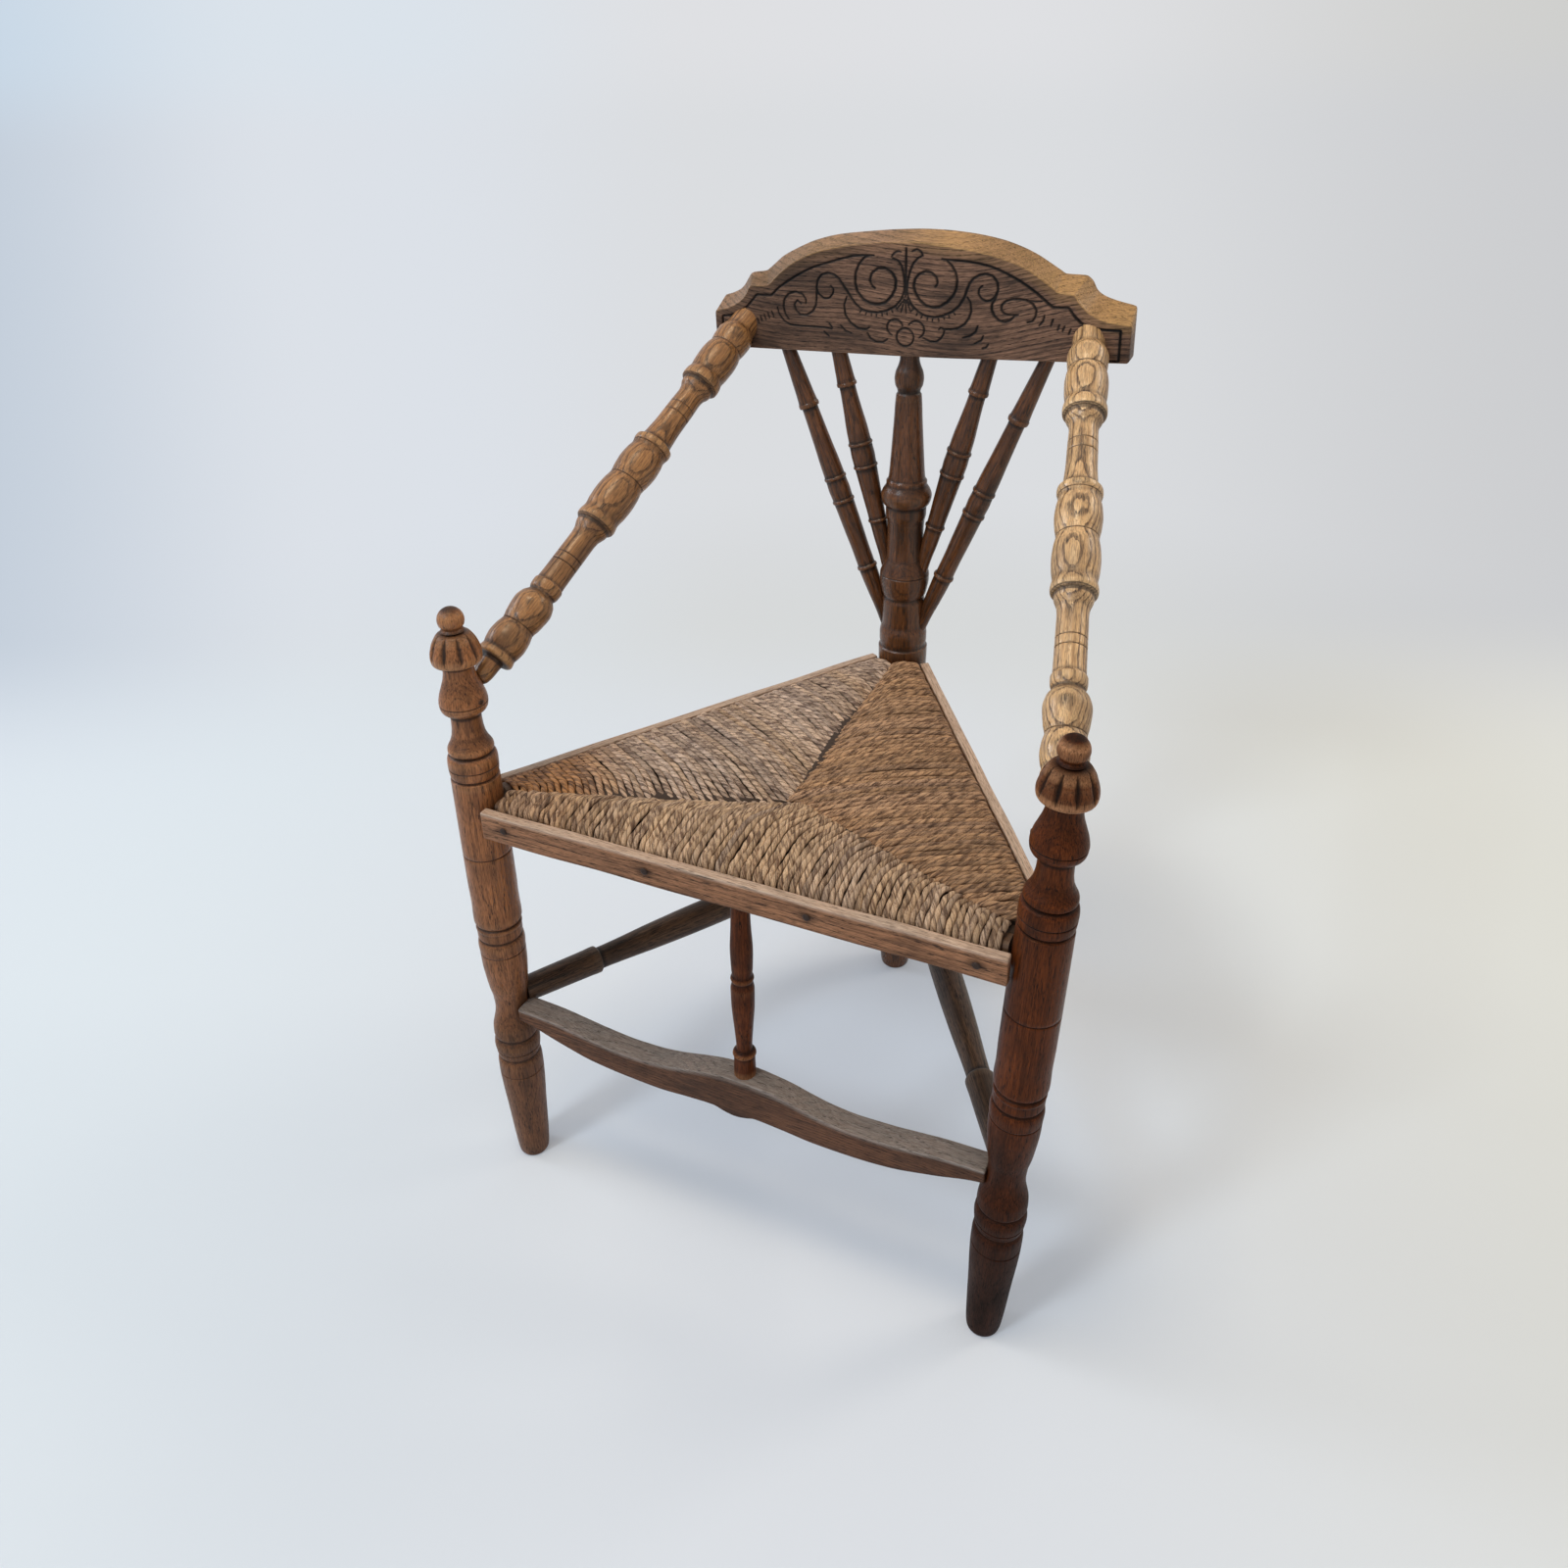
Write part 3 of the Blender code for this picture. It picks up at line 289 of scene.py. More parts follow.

# Each wood's light, middle and dark grain, the grime in its pores, which also paints dirt and shade into
# hollows, and its worn places, which also stand for painted highlights on what stands proud, as colours on
# screen; then roughness, specular level and metres from ring to ring, and how strongly rings, veins and dark
# patches show
woods = {
    "goldenOak": ((236, 193, 142), (192, 145, 98), (84, 56, 34), (40, 28, 20), (238, 198, 146),
                  0.27, 0.48, 0.0024, 0.95, 0.35, 0.45),
    # tawnyShadedOak: goldenOak made redder and darker for the left arm; part of the darkness is painted shade
    "tawnyShadedOak": ((188, 134, 84), (141, 94, 56), (68, 43, 25), (30, 20, 14), (198, 150, 100),
                 0.27, 0.38, 0.0024, 0.80, 0.45, 0.65),
    "brownOak": ((182, 117, 71), (132, 80, 47), (58, 34, 19), (24, 16, 11), (200, 148, 102),
                 0.27, 0.26, 0.0022, 0.22, 0.35, 0.65),
    # umberShadedOak: brownOak made darker for the right post, partly a darker wood and partly painted shade;
    # the front spindle uses it too
    "umberShadedOak": ((110, 55, 24), (73, 33, 11), (34, 15, 6), (16, 9, 6), (192, 138, 98),
                 0.30, 0.09, 0.0022, 0.18, 0.35, 0.60),
    "darkOak": ((122, 75, 44), (79, 48, 28), (32, 19, 11), (16, 10, 7), (150, 102, 66),
                0.20, 0.32, 0.0022, 0.30, 0.45, 0.65),
    "sootyOak": ((104, 76, 56), (68, 49, 37), (31, 23, 18), (14, 11, 9), (128, 108, 90),
                 0.34, 0.22, 0.0022, 0.30, 0.45, 0.60),
    "greyOak": ((154, 115, 92), (104, 76, 60), (41, 30, 25), (15, 11, 9), (206, 158, 97),
                0.38, 0.24, 0.0046, 0.62, 0.55, 0.62),
    "bowOak": ((121, 79, 54), (86, 54, 36), (41, 26, 18), (22, 15, 12), (152, 144, 138),
               0.42, 0.18, 0.0030, 0.45, 0.45, 0.55),
    "stripOak": ((180, 126, 90), (132, 89, 62), (64, 41, 28), (26, 18, 14), (208, 184, 164),
                 0.42, 0.20, 0.0030, 0.50, 0.45, 0.55)}


def oak(name, light, middle, dark, grimeAndShade, wornAndHighlight, gloss, sheen, ringGap, rings, veins, blotch):
    # Rings are shells of equal distance from the pith, so a bead cuts them as ovals; pores
    # are short dark dashes along the grain, fullest in the dark part of each ring; streaks of
    # darker wood run for a few centimetres, and slow patches of wax and dirt lie over all.
    light, middle, dark, grimeAndShade, wornAndHighlight = [rgb(*tone) for tone in (light, middle, dark, grimeAndShade, wornAndHighlight)]
    material = bpy.data.materials.new(name)
    tree = Tree(material)
    grain = tree.attribute("grain", "Vector")
    wander = tree.noise(grain, (34.0, 34.0, 9.0))
    ripple = tree.noise(grain, (240.0, 240.0, 40.0))
    radius = tree.vector("LENGTH", tree.vector("MULTIPLY", grain, (1.0, 1.0, 0.0)))
    radius = tree.plus(radius, tree.times(wander, 0.0065))
    radius = tree.plus(radius, tree.times(ripple, 0.0012))
    ring = tree.calc("FRACT", tree.calc("DIVIDE", radius, ringGap))
    latewood = tree.times(tree.span(ring, 0.55, 0.92, smooth=True),
                          tree.span(ring, 0.95, 1.0, 1.0, 0.0))
    streak = tree.noise(grain, (900.0, 900.0, 34.0), 4.0, 0.65)
    vein = tree.noise(grain, (260.0, 260.0, 12.0))
    dash = tree.span(tree.noise(grain, (1700.0, 1700.0, 150.0), 1.0), 0.52, 0.60, smooth=True)
    dash = tree.times(dash, tree.span(latewood, 0.0, 1.0, 0.45, 1.0))
    patch = tree.noise(grain, (30.0, 30.0, 13.0), 3.0, 0.6)
    colour = tree.mix(tree.span(streak, 0.34, 0.66), light, middle)
    broken = tree.times(latewood, tree.span(streak, 0.30, 0.60, 0.45, 1.0))
    colour = tree.mix(tree.times(broken, rings), colour, dark)
    colour = tree.mix(tree.span(vein, 0.50, 0.68, 0.0, veins, smooth=True), colour, dark)
    colour = tree.mix(tree.times(dash, 0.90), colour, grimeAndShade)
    colour = tree.mix(tree.span(patch, 0.42, 0.72, 0.0, blotch, smooth=True), colour, dark)
    # wear, with a painted highlight, lightens what stands proud, between the pores; dirt with painted shade
    # fills what is recessed
    rubbedAndHighlight = tree.times(tree.attribute("wearAndHighlight"), tree.span(streak, 0.25, 0.6, 1.0, 0.5), clamp=True)
    rubbedAndHighlight = tree.times(rubbedAndHighlight, tree.span(dash, 0.0, 1.0, 1.0, 0.35))
    colour = tree.mix(rubbedAndHighlight, colour, wornAndHighlight)
    dirtyAndShaded = tree.times(tree.attribute("dirtAndShade"), tree.span(patch, 0.2, 0.6, 0.8, 1.0), clamp=True)
    colour = tree.mix(dirtyAndShaded, colour, grimeAndShade)
    rough = tree.plus(tree.times(dash, 0.18), gloss)
    rough = tree.plus(rough, tree.span(patch, 0.3, 0.7, -0.06, 0.12))
    rough = tree.plus(rough, tree.times(dirtyAndShaded, 0.25), clamp=True)
    height = tree.minus(tree.times(latewood, 0.35), dash)
    height = tree.minus(height, tree.times(streak, 0.6))
    tree.surface(colour, rough, height, 0.24, 0.00025, Specular_IOR_Level=sheen)
    return material


oaks = {name: oak(name, *look) for name, look in woods.items()}

# Rush: twisted strips of leaf, so streaks follow the twist, with painted shade in the crease between plies.
# Each pair is the dark and the light end of a tone; the rest are line marks, the crease's painted shade, and
# shade.
rushLook = dict(plain=((108, 76, 54), (230, 192, 154)), grey=((100, 78, 68), (224, 196, 176)),
                warm=((82, 50, 28), (188, 132, 82)), lineMark=(60, 41, 29), creaseShade=(50, 34, 24),
                shade=(70, 51, 38))
rush = bpy.data.materials.new("rush")
tree = Tree(rush)
fibre = tree.attribute("fibre", "Vector")
tone = tree.make("ShaderNodeSeparateXYZ", {0: tree.attribute("rushTone", "Vector")})
strand = tree.noise(fibre, (3.6, 3.6, 0.7), 3.0, 0.65)
fleck = tree.noise(fibre, (0.9, 0.9, 1.7), 2.0, 0.55)
lineMark = tree.noise(fibre, (9.0, 9.0, 0.8), 2.0, 0.6)
share = tree.plus(tree.times(strand, 0.45), tree.times(fleck, 0.65))
share = tree.span(share, 0.42, 0.64, smooth=True)
plain, grey, warm = [tree.mix(share, rgb(*rushLook[key][0]), rgb(*rushLook[key][1]))
                     for key in ("plain", "grey", "warm")]
colour = tree.mix(tone.outputs["Y"], plain, grey)
colour = tree.mix(tone.outputs["Z"], colour, warm)
colour = tree.mix(tree.span(lineMark, 0.50, 0.70, 0.0, 0.75), colour, rgb(*rushLook["lineMark"]))
lobe = tree.calc("ABSOLUTE", tree.make("ShaderNodeSeparateXYZ", {0: fibre}).outputs["X"])
# the crease between the plies is painted dark: painted shade
creaseShade = tree.span(lobe, 0.0, 0.28, 1.0, 0.0, smooth=True)
colour = tree.mix(tree.times(creaseShade, 0.72), colour, rgb(*rushLook["creaseShade"]))
colour = tree.mix(tree.span(tone.outputs["X"], 0.0, 1.3, 0.0, 0.50), colour, rgb(*rushLook["shade"]))
height = tree.minus(tree.times(strand, 0.6), creaseShade)
height = tree.minus(height, tree.times(lineMark, 0.6))
tree.surface(colour, tree.span(strand, 0.3, 0.7, 0.72, 0.52), height, 0.6, 0.0007,
             Specular_IOR_Level=0.3)


def mottled(name, stretch, darker, lighter, rough, bump, **fixed):
    # two tones, a range of roughness and a bump, all from one noise in object coordinates
    material = bpy.data.materials.new(name)
    tree = Tree(material)
    mottle = tree.noise(tree.make("ShaderNodeTexCoord").outputs["Object"], stretch, 3.0, 0.6)
    tree.surface(tree.mix(mottle, rgb(*darker), rgb(*lighter)), tree.span(mottle, 0.3, 0.7, *rough),
                 mottle, *bump, **fixed)
    return material


stuffing = mottled("stuffing", (260.0, 260.0, 260.0), (34, 24, 18), (70, 50, 36), (0.9, 0.9),
                   (0.5, 0.0006))
rust = mottled("rust", (900.0, 900.0, 900.0), (30, 23, 21), (74, 54, 44), (0.45, 0.75),
               (0.5, 0.0004), Metallic=0.55)
hiddenOak = mottled("hiddenOak", (60.0, 60.0, 700.0), (62, 42, 28), (112, 78, 50), (0.5, 0.7),
                    (0.3, 0.0004))
print("materials done")


def meshPiece(name, points, quads, tris, material, nodes, attributes, sharp=None):
    # a closed mesh object from whole arrays, riding on the chair's one body
    mesh = bpy.data.meshes.new(name)
    mesh.vertices.add(len(points))
    mesh.vertices.foreach_set("co", np.ascontiguousarray(points, dtype=np.float32).ravel())
    corners = np.concatenate([quads.ravel(), tris.ravel()]).astype(np.int32)
    starts = np.concatenate([np.arange(len(quads)) * 4, len(quads) * 4 + np.arange(len(tris)) * 3])
    mesh.loops.add(len(corners))
    mesh.loops.foreach_set("vertex_index", corners)
    mesh.polygons.add(len(starts))
    mesh.polygons.foreach_set("loop_start", starts.astype(np.int32))
    mesh.update(calc_edges=True)
    mesh.shade_smooth()
    if sharp is not None:
        mesh.set_sharp_from_angle(angle=math.radians(sharp))
    for key, values in attributes.items():
        if values.ndim == 2:
            layer = mesh.attributes.new(key, "FLOAT_VECTOR", "POINT")
            layer.data.foreach_set("vector", np.ascontiguousarray(values, dtype=np.float32).ravel())
        else:
            layer = mesh.attributes.new(key, "FLOAT", "POINT")
            layer.data.foreach_set("value", np.ascontiguousarray(values, dtype=np.float32))
    mesh.materials.append(material)
    made = bpy.data.objects.new(name, mesh)
    bpy.context.scene.collection.objects.link(made)
    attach(made, "root")
    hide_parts(*nodes)


def tubeFaces(rows, columns):
    # quads round a tube of rows by columns, and a fan at each end round two added tips
    row, column = np.meshgrid(np.arange(rows - 1), np.arange(columns), indexing="ij")
    after = (column + 1) % columns
    quads = np.stack([row * columns + column, row * columns + after,
                      (row + 1) * columns + after, (row + 1) * columns + column], -1).reshape(-1, 4)
    ring = np.arange(columns)
    nextOne = (ring + 1) % columns
    first, last = rows * columns, rows * columns + 1
    base = (rows - 1) * columns
    tris = np.concatenate([
        np.stack([nextOne, ring, np.full(columns, first)], -1),
        np.stack([base + ring, base + nextOne, np.full(columns, last)], -1)])
    return quads, tris


def smoothThrough(xs, ys, at):
    # a curve through the keys that never overshoots them: cubic pieces, level at each peak
    xs, ys = np.asarray(xs, float), np.asarray(ys, float)
    step = np.diff(xs)
    slope = np.diff(ys) / step
    tangent = np.zeros(len(xs))
    product = slope[:-1] * slope[1:]
    total = np.where(np.abs(slope[:-1] + slope[1:]) < 1e-12, 1.0, slope[:-1] + slope[1:])
    tangent[1:-1] = np.where(product > 0, 2 * product / total, 0.0)
    tangent[0], tangent[-1] = slope[0], slope[-1]
    cell = np.clip(np.searchsorted(xs, at, side="right") - 1, 0, len(step) - 1)
    t = np.clip((at - xs[cell]) / step[cell], 0.0, 1.0)
    width = step[cell]
    return ((1 + 2 * t) * (1 - t) ** 2 * ys[cell] + t * (1 - t) ** 2 * width * tangent[cell]
            + t * t * (3 - 2 * t) * ys[cell + 1] + t * t * (t - 1) * width * tangent[cell + 1])


def ease(value, low, high):
    share = np.clip((value - low) / (high - low), 0.0, 1.0)
    return share * share * (3 - 2 * share)


# Turnings. Dirt with painted shade, and wear with a painted highlight, are read from the profile: hollow,
# creaseShade and proud are how many metres of it to either side each looks at
turning = dict(hollow=0.0032, creaseShade=0.0038, proud=0.008, ringStep=0.0011, scribeHalf=0.0009,
               scribeDepth=0.0007, pithDistance=0.045)


def lathe(piece):
    # a turning: the radius is a smooth curve through its keys along the axis, less the
    # scribed lines; rings round the axis make the surface
    piece = {**turning, **piece}
    start, end = np.array(piece["start"], float), np.array(piece["end"], float)
    length = np.linalg.norm(end - start)
    axis = (end - start) / length
    keys = np.array(sorted(piece["keys"]))
    places = [np.linspace(a, b, int(np.clip(math.ceil((b - a) / piece["ringStep"]), 2, 12)),
                          endpoint=False) for a, b in zip(keys[:-1, 0], keys[1:, 0])]
    along = np.concatenate(places + [keys[-1:, 0]])
    half = piece["scribeHalf"]
    marks = np.array(piece.get("scribes", ()))
    extra = [marks + half * share for share in (-1.0, -0.5, 0.0, 0.5, 1.0)] if len(marks) else []
    along = np.unique(np.round(np.concatenate([along, *extra]), 6))
    radius = smoothThrough(keys[:, 0], keys[:, 1], along)
    cut = np.zeros(len(along))
    for mark in marks:
        cut = np.maximum(cut, np.clip(1 - np.abs(along - mark) / half, 0.0, 1.0))

    # how far each place lies under the fullest radius near it or under the mean of its close neighbours, as
    # in a crease, and how far it stands proud of a wider mean: hollows and creases get dirt with painted
    # shade, proud places wear with a painted highlight
    near = np.abs(along[:, None] - along[None, :])

    def meanWithin(reach):
        weight = (near < reach).astype(float)
        return (weight * radius[None, :]).sum(1) / weight.sum(1)

    fullest = np.where(near < piece["hollow"], radius[None, :], 0.0).max(1)
    sunk = 0.85 * np.clip((fullest - radius - 0.0007) / 0.0030, 0.0, 1.0) ** 0.8
    creaseShade = np.clip((meanWithin(piece["creaseShade"]) - radius - 0.00004) / 0.0006, 0.0, 1.0)
    sunk = np.maximum(sunk, 0.80 * creaseShade ** 0.7)
    proud = np.clip((radius - meanWithin(piece["proud"])) / 0.0022, 0.0, 1.0)

    sides = piece.get("sides", 64)
    angle = np.arange(sides) * math.tau / sides
    bark = np.array(piece.get("pith", (0.5, -1.0, 0.0)), float)
    across = bark - axis * (bark @ axis)
    across /= np.linalg.norm(across)
    over = np.cross(axis, across)
    ring = radius[:, None] - (cut * piece["scribeDepth"])[:, None]
    ring = ring * (1 + 0.004 * np.sin(2 * angle + piece["seed"])[None, :])     # a little out of round
    # darker towards a foot; the scribed lines are painted dark, dirt with painted shade; wear, with its
    # painted highlight, may be kept to the part above a height
    footDarkening = piece.get("darkFoot", 0.0) * ease(-along, -0.34, -0.05)
    proud = proud * (along > piece.get("wearAndHighlightFrom", -1.0))
    deep = np.repeat(np.maximum(np.maximum(sunk, cut * 0.95), footDarkening)[:, None], sides, 1)
    if "flutes" in piece:
        # flutes: lens-shaped hollows round the ring, from one height to another
        low, high, count, depth = piece["flutes"]
        rise = np.clip((along - low) / (high - low), 0.0, 1.0)[:, None]
        turn = (angle * count / math.tau)[None, :] % 1.0 - 0.5
        lens = 0.22 * np.sin(math.pi * rise) ** 0.8
        gouge = np.clip(1 - (turn / np.maximum(lens, 1e-4)) ** 2, 0.0, 1.0) * (lens > 0.02)
        ring = ring - depth * gouge * np.sin(math.pi * rise) ** 0.5
        # the flutes' hollows are painted dark too, dirt with painted shade
        deep = np.maximum(deep, gouge ** 0.8)
    grid = (start + along[:, None, None] * axis
            + ring[..., None] * (across * np.cos(angle)[:, None] + over * np.sin(angle)[:, None]))
    tips = [start + axis * along[0], start + axis * along[-1]]
    if piece.get("standing"):
        # the lowest 30 mm slide along the axis until the foot lies flat on the floor
        slide = -grid[0, :, 2] / axis[2]
        fade = np.clip(1 - along / 0.030, 0.0, 1.0)[:, None]
        grid = grid + (fade * slide[None, :])[..., None] * axis
        tips[0] = tips[0] - axis * (tips[0][2] / axis[2])
    points = np.concatenate([grid.reshape(-1, 3), np.array(tips)])
    # grain: distances from the pith across the piece, and the height along it
    local = np.stack([ring * np.cos(angle) + piece["pithDistance"], ring * np.sin(angle),
                      np.repeat(along[:, None], sides, 1)], -1).reshape(-1, 3)
    ends = [[turning["pithDistance"], 0.0, along[0]], [turning["pithDistance"], 0.0, along[-1]]]
    grain = np.concatenate([local, ends]) + np.array([0.0, 0.0, piece["seed"] * 1.7])
    wearAndHighlight = np.repeat(proud * piece.get("wearAndHighlight", 0.6), sides)
    quads, tris = tubeFaces(len(along), sides)
    meshPiece(piece["name"], points, quads, tris, piece["material"], piece["nodes"],
              {"grain": grain, "dirtAndShade": np.concatenate([deep.ravel(), [0.4, 0.0]]),
               "wearAndHighlight": np.concatenate([wearAndHighlight, [0.0, 0.0]])}, 38)


def scaledKeys(shares, length, radius, base=0.0):
    return [(base + share * length, part * radius) for share, part in shares]


# Posts: radii, and the lengths from the seat rail up to the finials' tops and to the crest
post = dict(lowerRadius=0.0216, upperRadius=0.0218, backLowerRadius=0.0238, backRailRadius=0.0246,
            backUpperRadius=0.025, upper=0.187, backUpper=0.327, ballRadius=0.0113)
# from the floor to the seat rail: shares of that height and of the radius
lowerShares = [
    (0.000, 0.60), (0.005, 0.655), (0.030, 0.715), (0.150, 0.85), (0.230, 0.945), (0.2625, 0.965),
    (0.288, 0.965), (0.302, 0.94), (0.3105, 0.865), (0.317, 0.92), (0.331, 0.965), (0.346, 0.990),
    (0.358, 0.965), (0.3645, 0.91), (0.3685, 0.865), (0.3730, 0.925), (0.378, 0.950), (0.398, 0.93),
    (0.418, 0.84), (0.440, 0.74), (0.458, 0.71), (0.485, 0.735), (0.515, 0.83), (0.550, 0.905),
    (0.585, 0.955), (0.617, 0.965), (0.636, 0.985), (0.648, 0.960), (0.6550, 0.885), (0.6600, 0.935),
    (0.664, 0.945), (0.680, 0.945), (0.6845, 0.970), (0.6885, 0.955), (0.6920, 0.885), (0.6965, 0.94),
    (0.704, 1.000), (0.714, 1.005), (0.75, 0.985), (0.80, 1.0), (0.8835, 1.0), (1.0, 0.99)]
lowerScribes = [seatRailHeight * share for share in (0.2625, 0.3300, 0.615, 0.8835)]
# the front posts from the seat rail to the finials' caps
frontShares = [
    (0.155, 0.97), (0.161, 0.885), (0.166, 0.885), (0.174, 0.950), (0.205, 0.985), (0.238, 0.995),
    (0.264, 0.975), (0.279, 0.915), (0.287, 0.805), (0.294, 0.87), (0.304, 0.910), (0.316, 0.900),
    (0.330, 0.845), (0.350, 0.750), (0.380, 0.660), (0.420, 0.610), (0.475, 0.595), (0.485, 0.63),
    (0.492, 0.74), (0.503, 0.85), (0.520, 0.92), (0.545, 0.945), (0.5775, 0.90), (0.620, 0.775),
    (0.663, 0.65), (0.7005, 0.60), (0.7335, 0.61), (0.7360, 0.85), (0.742, 0.93), (0.752, 0.97),
    (0.770, 0.985), (0.790, 0.97), (0.807, 0.935), (0.834, 0.855), (0.860, 0.73), (0.877, 0.61),
    (0.889, 0.47)]
frontScribes = [seatRailHeight + post["upper"] * share for share in (0.216, 0.539)]
ballKeys = [(ballHeight + post["ballRadius"] * math.sin(math.radians(turn)),
             post["ballRadius"] * math.cos(math.radians(turn)))
            for turn in (-62, -40, -20, 0, 20, 40, 58, 72, 82, 87)]
frontKeys = (scaledKeys(lowerShares, seatRailHeight, post["lowerRadius"])
             + scaledKeys(frontShares, post["upper"], post["upperRadius"], seatRailHeight) + ballKeys)
leftPost = dict(name="leftPost", nodes=["left_post"], slot="oak_mid", material=oaks["brownOak"],
                start=frontAxis(-1, 0.0), end=frontAxis(-1, frontPostTop), keys=frontKeys, seed=1.3,
                scribes=lowerScribes + frontScribes, sides=96, standing=True, pith=(0.6, -1.0, 0.0),
                flutes=(0.5415, 0.5650, 9, 0.0022), darkFoot=0.60)
rightPost = dict(leftPost, name="rightPost", nodes=["right_post"], material=oaks["umberShadedOak"],
                 start=frontAxis(1, 0.0), end=frontAxis(1, frontPostTop), seed=2.9,
                 pith=(0.2, -1.0, 0.0), wearAndHighlight=0.95, wearAndHighlightFrom=0.53, darkFoot=0.85)

# the back post from the seat rail to the crest
backShares = [
    (0.067, 1.00), (0.072, 0.945), (0.078, 0.945), (0.092, 0.965), (0.113, 0.965), (0.1315, 0.93),
    (0.144, 0.875), (0.153, 0.865), (0.223, 0.855), (0.234, 0.83), (0.240, 0.82), (0.251, 0.88),
    (0.271, 0.94), (0.2935, 0.985), (0.315, 0.99), (0.339, 0.90), (0.355, 0.82), (0.370, 0.745),
    (0.416, 0.72), (0.459, 0.72), (0.489, 0.74), (0.514, 0.80), (0.538, 0.80), (0.546, 0.90),
    (0.560, 0.975), (0.572, 1.0), (0.590, 0.93), (0.601, 0.84), (0.6085, 0.80), (0.618, 0.80),
    (0.624, 0.735), (0.642, 0.70), (0.688, 0.655), (0.795, 0.56), (0.882, 0.485), (0.888, 0.43),
    (0.896, 0.45), (0.910, 0.53), (0.928, 0.56), (0.946, 0.53), (0.966, 0.43), (0.982, 0.375),
    (1.0, 0.36), (1.03, 0.34)]
backPost = dict(name="backPost", nodes=["back_post"], slot="oak_dark", material=oaks["darkOak"],
                start=backAxis(0.0), end=backAxis(crestUnderside), seed=4.4, sides=96, standing=True,
                keys=scaledKeys(lowerShares[:-1], seatRailHeight, post["backLowerRadius"])
                + [(seatRailHeight, post["backRailRadius"])]
                + scaledKeys(backShares, post["backUpper"], post["backUpperRadius"], seatRailHeight),
                scribes=lowerScribes + [seatRailHeight + post["backUpper"] * 0.3165],
                pith=(0.4, -1.0, 0.0))
for piece in (leftPost, rightPost, backPost):
    lathe(piece)
print("posts done")


def millimetreKeys(keys, length):
    # keys given as shares of a length and radii in millimetres
    return [(share * length, radius / 1000) for share, radius in keys]


# Arms, from the post's axis to the crest's front face. The peg is a dowel across the joint,
# turned a little to the front; its end is a low dome, proud of the post only on the left.
armKeys = [
    (-0.02, 5.5), (0.044, 5.6), (0.05, 7.4), (0.062, 8.8), (0.0935, 9.8), (0.0952, 15.4),
    (0.0997, 16.9), (0.1066, 16.6), (0.1125, 15.9), (0.1224, 17.0), (0.1391, 17.9), (0.1578, 17.0),
    (0.1736, 15.4), (0.1894, 16.8), (0.2199, 18.1), (0.2387, 16.0), (0.2505, 12.4), (0.252, 12.2),
    (0.2575, 13.5), (0.2673, 14.0), (0.2743, 14.0), (0.2802, 12.7), (0.3118, 12.4), (0.351, 12.3),
    (0.3902, 12.2), (0.4049, 12.8), (0.4128, 14.0), (0.4216, 15.4), (0.4295, 15.8), (0.4334, 18.2),
    (0.4413, 18.8), (0.4492, 18.3), (0.4581, 17.6), (0.4787, 18.8), (0.5024, 19.3), (0.5259, 18.6),
    (0.5475, 17.2), (0.5671, 18.5), (0.5896, 19.3), (0.6112, 18.6), (0.6279, 17.4), (0.6347, 17.9),
    (0.6426, 18.7), (0.6494, 18.5), (0.6533, 16.0), (0.6602, 14.5), (0.6769, 13.8), (0.7043, 13.0),
    (0.7541, 12.6), (0.7854, 12.2), (0.7981, 13.1), (0.8098, 15.4), (0.8196, 16.0), (0.8225, 18.5),
    (0.8304, 19.0), (0.8392, 18.7), (0.8509, 17.4), (0.8705, 18.3), (0.8969, 18.7), (0.9164, 17.9),
    (0.9291, 16.6), (0.9437, 17.5), (0.9632, 17.9), (0.9778, 16.2), (0.9875, 14.5), (0.9973, 14.3),
    (1.035, 14.3)]
armScribeShares = (0.1736, 0.3265, 0.3451, 0.4334, 0.5475, 0.6347, 0.7317, 0.7541, 0.8225, 0.9291)
arms = dict(postHeight=0.502, crestSpread=0.1660, crestShift=-0.0033, crestHeight=0.0205,
            pegPlace=0.0056, pegInward=0.0207, pegForward=0.0075,
            left=dict(seed=5.2, pith=(0.75, -1.0, 0.8), material=oaks["tawnyShadedOak"], pegFace=0.0204),
            right=dict(seed=6.6, pith=(0.1, -1.0, 0.5), material=oaks["goldenOak"],
                       pegFace=0.0204 - 0.0012))
for side, word in ((-1, "left"), (1, "right")):
    arm = arms[word]
    start = frontAxis(side, arms["postHeight"])
    end = crestPoint(side * arms["crestSpread"] + arms["crestShift"], -crestThickness / 2,
                     arms["crestHeight"])
    length = np.linalg.norm(end - start)
    lathe(dict(name=word + "Arm", nodes=[word + "_arm"], slot="oak_light", material=arm["material"],
               start=start, end=end, seed=arm["seed"], sides=72, pith=arm["pith"], wearAndHighlight=0.85,
               scribeDepth=0.0006, scribeHalf=0.0008, pithDistance=0.038,
               keys=millimetreKeys(armKeys, length),
               scribes=[share * length for share in armScribeShares]))
    centre = start + (end - start) / length * arms["pegPlace"]
    pegEnd = centre + np.array([-side * arms["pegInward"], -arms["pegForward"], 0.0])
    face = arm["pegFace"]
    pegKeys = [(0.0, 0.0028), (0.010, 0.0028), (face + 0.0002, 0.0027), (face + 0.0008, 0.0020),
               (face + 0.0011, 0.0008)]
    lathe(dict(name=word + "ArmPeg", nodes=[word + "_arm_peg"], slot="oak_dark",
               material=oaks["darkOak"], start=centre, end=pegEnd, keys=pegKeys,
               seed=arm["seed"] + 1, sides=24))
print("arms done")

